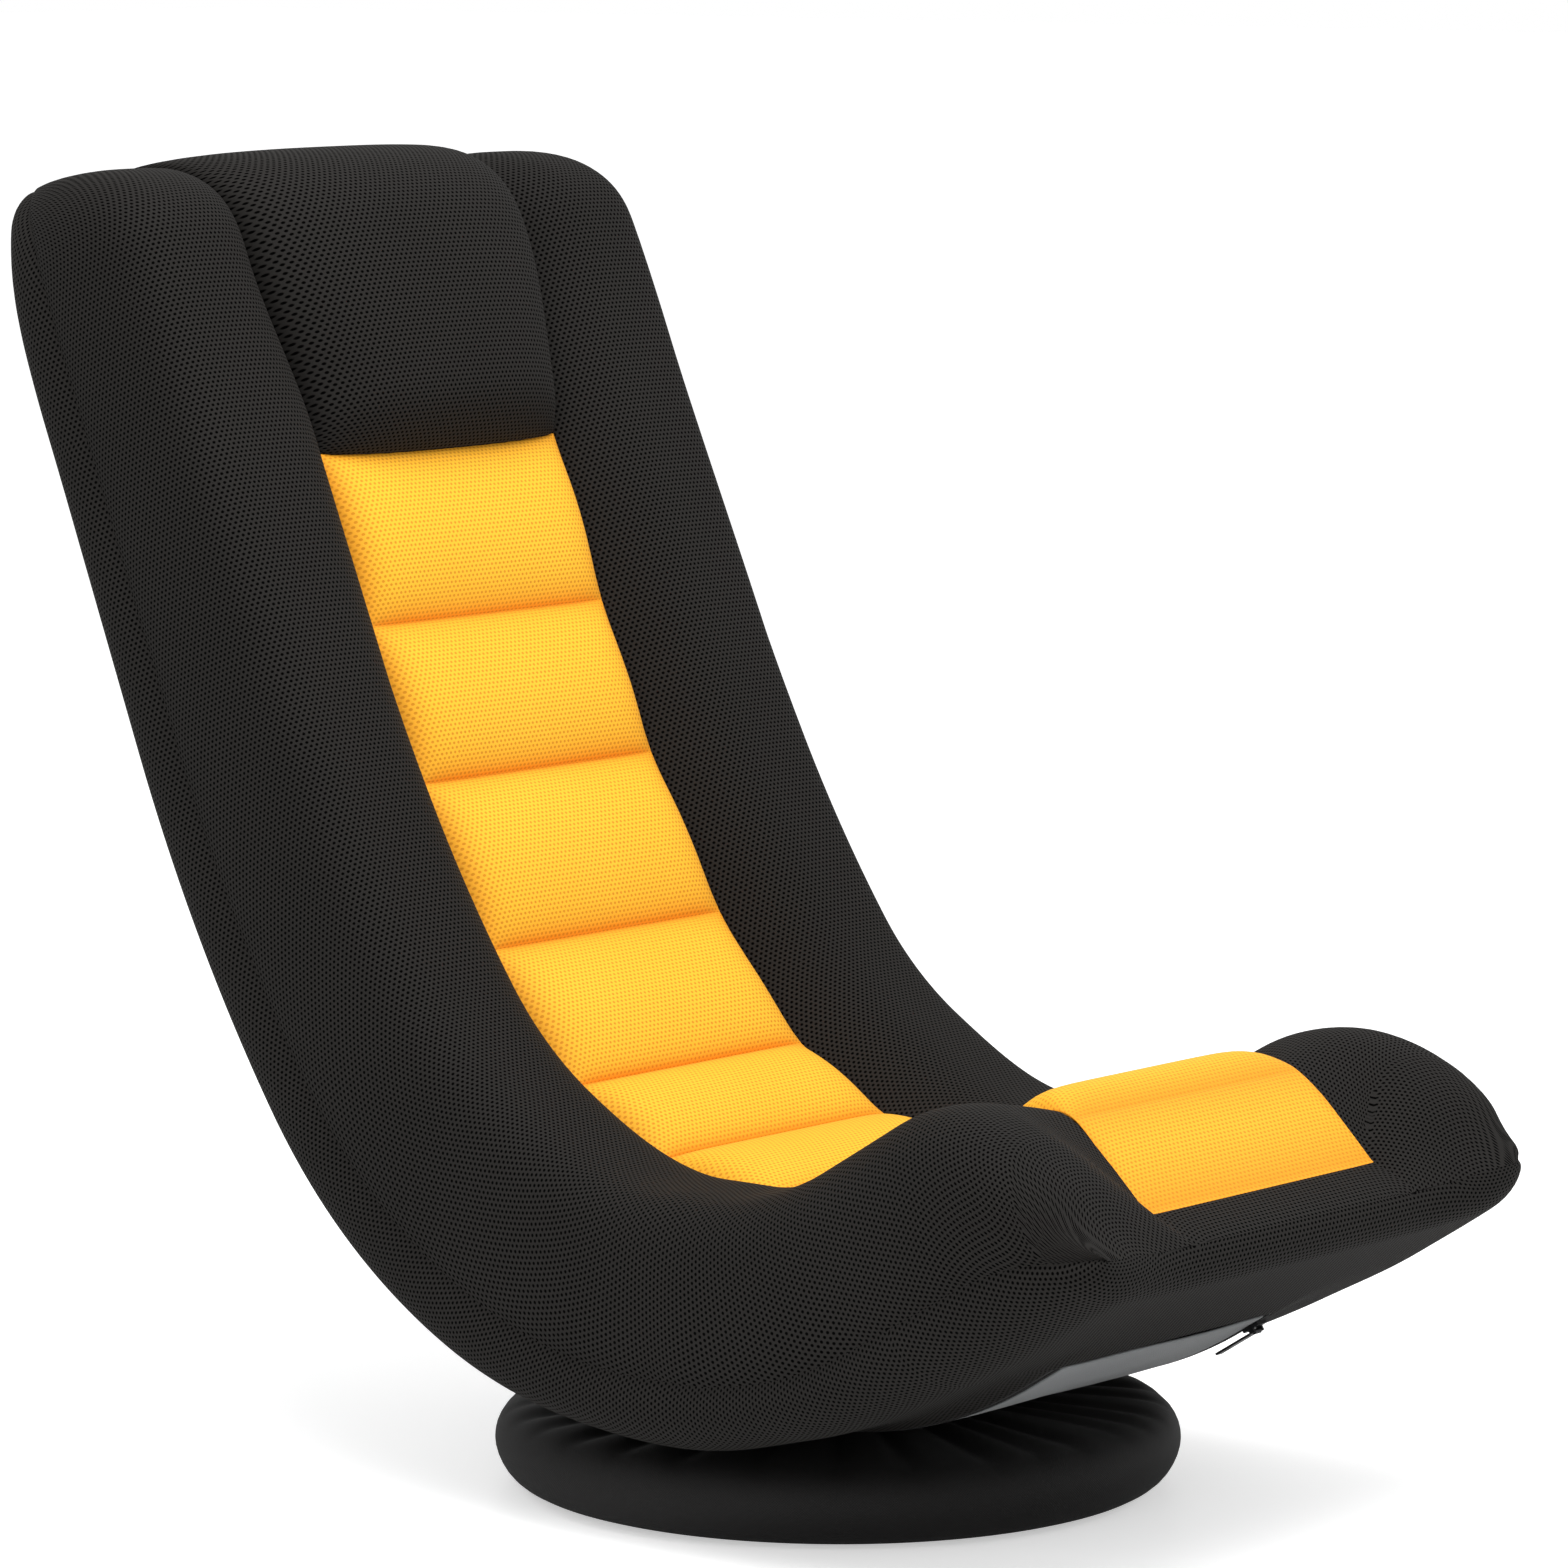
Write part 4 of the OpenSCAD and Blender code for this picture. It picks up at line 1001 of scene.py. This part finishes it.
def blend_colours(tree, factor, a, b):
    node = tree.nodes.new("ShaderNodeMix")
    node.data_type = "RGBA"
    tree.links.new(factor, node.inputs["Factor"])
    for socket, value in ((node.inputs[6], a), (node.inputs[7], b)):
        if isinstance(value, tuple):
            socket.default_value = (*value, 1)
        else:
            tree.links.new(value, socket)
    return node.outputs[2]


def coloured(tree, shader, colour):
    tree.links.new(colour, shader.inputs["Base Color"])


def bump(tree, shader, height, strength, distance, before=None):
    node = tree.nodes.new("ShaderNodeBump")
    fix(node, Strength=strength, Distance=distance)
    tree.links.new(height, node.inputs["Height"])
    if before is not None:
        tree.links.new(before, node.inputs["Normal"])
    tree.links.new(node.outputs["Normal"], shader.inputs["Normal"])
    return node.outputs["Normal"]


def sheen(shader, weight, rough, tint):
    fix(shader, Sheen_Weight=weight, Sheen_Roughness=rough, Sheen_Tint=(*tint, 1))

# %% [markdown]
# The black and the yellow spacer mesh are the same cloth in two colours. The distance to the nearest hole
# drives painted shade inside the holes, a darker colour, and also the loss of gloss there and the dents in
# the surface. The holes follow the cloth map, not the object's place, so they bend with the piece. The
# yellow cloth also gets painted shade near its seams and sides, a darker orange for the shade and the
# light bounced between its folds where it dips.

# %% The mesh cloth
HOLE_PITCH = (0.0037, 0.0058)
HOLE_SHAPE = (1.0, 1.75, 0)
HOLE_R = 0.27
HOLE_SOFT = 0.10


def black_mesh():
    mat, tree, shader = clean_material("black_air_mesh")
    hole = holes(tree, HOLE_PITCH, HOLE_SHAPE, HOLE_R, HOLE_SOFT)
    wear = noise(tree, 9.0, 3.0)
    cloth = blend_colours(tree, wear, (0.0125, 0.0115, 0.0105), (0.0175, 0.0160, 0.0147))
    # Painted shade: the holes are near black, for the shade inside them.
    colour = blend_colours(tree, hole, cloth, (0.0008, 0.0008, 0.0008))
    coloured(tree, shader, colour)
    fix(shader, Roughness=0.82)
    gloss = math_node(tree, "MULTIPLY", math_node(tree, "SUBTRACT", 1.0, hole), 0.16)
    tree.links.new(gloss, shader.inputs["Specular IOR Level"])
    sheen(shader, 0.012, 0.45, (0.9, 0.88, 0.85))
    bump(tree, shader, math_node(tree, "SUBTRACT", 1.0, hole), 0.5, 0.0006)
    return mat


def yellow_mesh():
    mat, tree, shader = clean_material("yellow_air_mesh")
    hole = holes(tree, HOLE_PITCH, HOLE_SHAPE, HOLE_R, HOLE_SOFT)
    near = tree.nodes.new("ShaderNodeAttribute")
    near.attribute_name = "seam"
    wear = noise(tree, 7.0, 2.0)
    cloth = blend_colours(tree, wear, (0.95, 0.485, 0.022), (0.99, 0.545, 0.034))
    # Painted shade near the seams and sides, from the seam attribute: a darker orange for shade and bounced
    # light.
    depth = math_node(tree, "MULTIPLY", near.outputs["Fac"], 0.75)
    seam_shaded = blend_colours(tree, depth, cloth, (0.86, 0.27, 0.006))
    # Painted shade in the holes: a darker orange.
    colour = blend_colours(tree, math_node(tree, "MULTIPLY", hole, 0.88), seam_shaded, (0.66, 0.24, 0.005))
    coloured(tree, shader, colour)
    fix(shader, Roughness=0.75, Specular_IOR_Level=0.3)
    sheen(shader, 0.05, 0.4, (1.0, 0.86, 0.5))
    bump(tree, shader, math_node(tree, "SUBTRACT", 1.0, hole), 0.35, 0.0005)
    return mat


finishes = {"black_mesh": black_mesh(), "yellow_mesh": yellow_mesh()}
print("mesh cloth", sorted(finishes), "with a hole every", HOLE_PITCH, "m")

# %% [markdown]
# The grey backing is a pressed felt with fine embossed dots. The base's cover is a fine black knit. Both
# use the same hole field as the mesh, at a pitch that only shows close up, plus a slow cloud of noise,
# since no cloth is of one even colour.

# %% Backing and base cloth
def grey_backing():
    mat, tree, shader = clean_material("grey_backing")
    felt = noise(tree, 900.0, 2.0)
    cloud = noise(tree, 14.0, 3.0)
    colour = blend_colours(tree, cloud, (0.150, 0.157, 0.162), (0.190, 0.198, 0.204))
    coloured(tree, shader, colour)
    fix(shader, Roughness=0.78)
    sheen(shader, 0.15, 0.5, (1, 1, 1))
    dots = holes(tree, (0.0022, 0.0022), (1.0, 1.0, 0), 0.26, 0.12)
    first = bump(tree, shader, dots, 0.25, 0.0002)
    bump(tree, shader, felt, 0.2, 0.0003, first)
    return mat


def base_cloth():
    mat, tree, shader = clean_material("base_cloth")
    knit = holes(tree, (0.0016, 0.0016), (1.0, 1.0, 0), 0.24, 0.14)
    cloud = noise(tree, 12.0, 3.0)
    cloth = blend_colours(tree, cloud, (0.008, 0.0076, 0.0074), (0.014, 0.013, 0.0125))
    # Painted shade: the knit's holes are darker, for the shade inside them.
    colour = blend_colours(tree, knit, cloth, (0.003, 0.003, 0.003))
    coloured(tree, shader, colour)
    fix(shader, Roughness=0.72, Specular_IOR_Level=0.25)
    sheen(shader, 0.02, 0.4, (0.9, 0.9, 0.9))
    bump(tree, shader, math_node(tree, "SUBTRACT", 1.0, knit), 0.3, 0.0003)
    return mat


finishes["grey_backing"] = grey_backing()
finishes["base_cloth"] = base_cloth()
print("with the backing and the base's cloth", len(finishes), "finishes")

# %% [markdown]
# The hard pieces and the zip tape share one function: two near colours mixed by noise, a slight spread of
# roughness, and a fine bump, as an even value would look like plastic. The board has a stretched grain, and
# the webbing has the ribs of a woven band, from a wave texture.

# %% Steel, board, rubber, nylon and webbing
ROUGH_SPREAD = 0.08
FINE_GRAIN = 14


def plain(name, low_colour, high_colour, rough, metal=0.0, scale=30.0, dent=0.1, depth=0.0003, coat=0.0):
    mat, tree, shader = clean_material(name)
    grain = noise(tree, scale, 4.0)
    coloured(tree, shader, blend_colours(tree, grain, low_colour, high_colour))
    fix(shader, Metallic=metal, Coat_Weight=coat)
    spread = tree.nodes.new("ShaderNodeMapRange")
    tree.links.new(grain, spread.inputs["Value"])
    fix(spread, To_Min=rough - ROUGH_SPREAD, To_Max=rough + ROUGH_SPREAD)
    tree.links.new(spread.outputs["Result"], shader.inputs["Roughness"])
    bump(tree, shader, noise(tree, scale * FINE_GRAIN, 3.0), dent, depth)
    return mat


def plywood():
    mat, tree, shader = clean_material("plywood")
    place = object_place(tree)
    stretched = vector_node(tree, "MULTIPLY", place, (60.0, 4.0, 300.0))
    grain = noise(tree, 1.0, 5.0, stretched)
    colour = blend_colours(tree, grain, (0.42, 0.27, 0.13), (0.68, 0.49, 0.28))
    coloured(tree, shader, colour)
    fix(shader, Roughness=0.6)
    bump(tree, shader, grain, 0.25, 0.0004)
    return mat


def webbing():
    mat, tree, shader = clean_material("webbing")
    wave = tree.nodes.new("ShaderNodeTexWave")
    fix(wave, Scale=260.0)
    tree.links.new(object_place(tree), wave.inputs["Vector"])
    colour = blend_colours(tree, wave.outputs["Fac"], (0.02, 0.02, 0.02), (0.05, 0.05, 0.05))
    coloured(tree, shader, colour)
    fix(shader, Roughness=0.8)
    bump(tree, shader, wave.outputs["Fac"], 0.4, 0.0003)
    return mat


STEEL_BLACK = ((0.012, 0.012, 0.013), (0.028, 0.028, 0.030))
STEEL_BRIGHT = ((0.50, 0.51, 0.53), (0.68, 0.69, 0.70))
NYLON = ((0.62, 0.58, 0.38), (0.74, 0.70, 0.50))
ENAMEL = ((0.010, 0.010, 0.011), (0.024, 0.024, 0.026))
TAPE = ((0.010, 0.010, 0.010), (0.022, 0.021, 0.020))
RUBBER = ((0.012, 0.012, 0.012), (0.03, 0.03, 0.03))
finishes.update({
    "black_tape": plain("black_tape", *TAPE, 0.7, scale=200.0, dent=0.3),
    "webbing": webbing(),
    "board": plywood(),
    "rubber": plain("rubber", *RUBBER, 0.75, scale=60.0, dent=0.25),
    "black_steel": plain("black_steel", *STEEL_BLACK, 0.42, scale=40.0, coat=0.3),
    "bright_steel": plain("bright_steel", *STEEL_BRIGHT, 0.32, metal=1.0, scale=55.0),
    "cage_plastic": plain("cage_plastic", *NYLON, 0.45, scale=30.0),
    "black_metal": plain("black_metal", *ENAMEL, 0.35, metal=0.6, scale=80.0),
})
print("finishes", sorted(finishes))

# %% [markdown]
# Each piece gets its finish. The cover, the insert, the panel and the zips cross the hinge; they are tied
# to no body, and their place is only baked into their points. The pillow and the upper bands are tied to the
# back, the lower bands to the seat, and the round cover to the base. The solids that these pieces stand
# for are then hidden.


def dress(obj, slot_name):
    obj.data.materials.clear()
    obj.data.materials.append(finishes[slot_name])


def crosses_hinge(obj):
    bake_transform(obj)


for obj, name in ((cover, "black_mesh"), (insert, "yellow_mesh"), (panel, "grey_backing")):
    dress(obj, name)
    crosses_hinge(obj)
for strip in zips:
    dress(strip, "black_tape")
    crosses_hinge(strip)
riders = ((pillow, "black_mesh", "back"), (base_cover, "base_cloth", "base"))
band_riders = ((seat_bands, "webbing", "seat"), (back_bands, "webbing", "back"))
for obj, name, body in riders + band_riders:
    dress(obj, name)
    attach(obj, body)

bolsters = [f"{part}_bolster_{side}" for part in ("seat", "back") for side in ("left", "right")]
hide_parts(*bolsters, "bend_bolsters")
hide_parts("seat_nose", "seat_foam", "seat_base_foam", "bend_foam", "back_foam", "back_base_foam")
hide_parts("seat_insert", "bend_insert", "back_insert")
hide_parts("headrest_pillow")
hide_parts("seat_panel", "bend_panel", "back_panel")
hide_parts("seat_zips", "bend_zips", "back_zips")
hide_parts("base_cover", "base_foam_ring")
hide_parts("seat_straps")
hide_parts("back_straps")

nodes_of = {
    "board": ["base_board"],
    "rubber": ["base_feet"],
    "black_steel": [
        "base_hub", "seat_mount", "seat_rails", "seat_front_tube", "seat_cross_bars", "back_rails",
        "back_top_tube", "back_cross_bars",
    ],
    "cage_plastic": ["turntable_cage"],
    "black_metal": ["seat_zip_slider", "seat_zip_pull", "back_zip_slider", "back_zip_pull"],
}
placed = {n: slot_name for slot_name, names in nodes_of.items() for n in names}
shown = [n for n, o in nodes.items() if not o.hide_render]
for n in shown:
    dress(nodes[n], placed.get(n, "bright_steel"))
print("CAD nodes shown", len(shown))

# %% [markdown]
# The picture is a product shot on white, with only a soft shadow under the chair. A cut-out would lose the
# shadow, so the floor is real and pale. It glows a little for the camera alone, which lifts it to white and
# leaves the light on the chair as it is.

# %% The floor
FLOOR_HALF = 30.0
FLOOR_GLOW = 0.48
FLOOR_DROP = 0.0002
floor_mesh = bpy.data.meshes.new("floor")
corners = [(-1, -1), (1, -1), (1, 1), (-1, 1)]
floor_points = [(x * FLOOR_HALF, y * FLOOR_HALF, -FLOOR_DROP) for x, y in corners]
floor_mesh.from_pydata(floor_points, [], [(0, 1, 2, 3)])
floor = in_scene("floor", floor_mesh)
floor_mat, floor_tree, floor_shader = clean_material("floor")
fix(floor_shader, Base_Color=(0.93, 0.93, 0.93, 1), Roughness=0.45)
fix(floor_shader, Specular_IOR_Level=0.3, Emission_Color=(1, 1, 1, 1))
floor_ray = floor_tree.nodes.new("ShaderNodeLightPath")
glow = math_node(floor_tree, "MULTIPLY", floor_ray.outputs["Is Camera Ray"], FLOOR_GLOW)
floor_tree.links.new(glow, floor_shader.inputs["Emission Strength"])
floor.data.materials.append(floor_mat)
print("floor", 2 * FLOOR_HALF, "m across")

# %% [markdown]
# The surround is white where the camera sees it and weaker as a light, so that black cloth keeps its depth.
# A large softbox hangs overhead and two weaker ones stand at the sides. Small lamps would give hard
# shadows, which the picture doesn't have.

# %% Surround and lights
FILL_STRENGTH = 0.66
SEEN_STRENGTH = 1.0
world = bpy.data.worlds.new("studio")
bpy.context.scene.world = world
world.use_nodes = True
sky = world.node_tree
sky.nodes.clear()
sky_out = sky.nodes.new("ShaderNodeOutputWorld")
sky_mix = sky.nodes.new("ShaderNodeMixShader")
sky_ray = sky.nodes.new("ShaderNodeLightPath")
sky.links.new(sky_ray.outputs["Is Camera Ray"], sky_mix.inputs["Fac"])
for place, strength in ((1, FILL_STRENGTH), (2, SEEN_STRENGTH)):
    light = sky.nodes.new("ShaderNodeBackground")
    fix(light, Color=(1, 1, 1, 1), Strength=strength)
    sky.links.new(light.outputs["Background"], sky_mix.inputs[place])
sky.links.new(sky_mix.outputs["Shader"], sky_out.inputs["Surface"])


def softbox(name, place, target, size, power):
    light = bpy.data.lights.new(name, "AREA")
    light.shape = "RECTANGLE"
    light.size, light.size_y = size
    light.energy = power
    obj = in_scene(name, light)
    obj.location = place
    obj.rotation_euler = (Vector(target) - Vector(place)).to_track_quat("-Z", "Y").to_euler()


MIDDLE = (0, 0, 0.35)
softbox("overhead", (-0.5, -0.5, 2.6), MIDDLE, (1.8, 1.8), 52)
softbox("front_side", (-2.6, -1.0, 1.5), MIDDLE, (1.6, 1.6), 14)
softbox("far_side", (2.2, -1.6, 1.4), MIDDLE, (1.4, 1.4), 10)

# %% [markdown]
# The picture was taken from far off with a long lens, a little above the chair and to its side, which gives
# a flat perspective. The camera's place and lens were found by fitting the base's ellipse and the cushion's
# outline.

# %% The camera
CAMERA_PLACE = (-3.3659, -2.8045, 1.0021)
CAMERA_DOWN_DEG = 7.39
CAMERA_TURN_DEG = -49.76
CAMERA_LENS = 165.13
CAMERA_SENSOR = 36.0
camera_data = bpy.data.cameras.new("camera")
camera_data.lens = CAMERA_LENS
camera_data.sensor_width = CAMERA_SENSOR
camera_data.clip_end = 50.0
camera = in_scene("camera", camera_data)
camera.location = CAMERA_PLACE
camera.rotation_euler = (math.radians(90 - CAMERA_DOWN_DEG), 0, math.radians(CAMERA_TURN_DEG))
bpy.context.scene.camera = camera
bpy.context.scene.view_settings.view_transform = "Standard"
bpy.context.scene.world.color = (1, 1, 1)
print("camera", [round(v, 3) for v in camera.location], "lens", CAMERA_LENS, "mm")
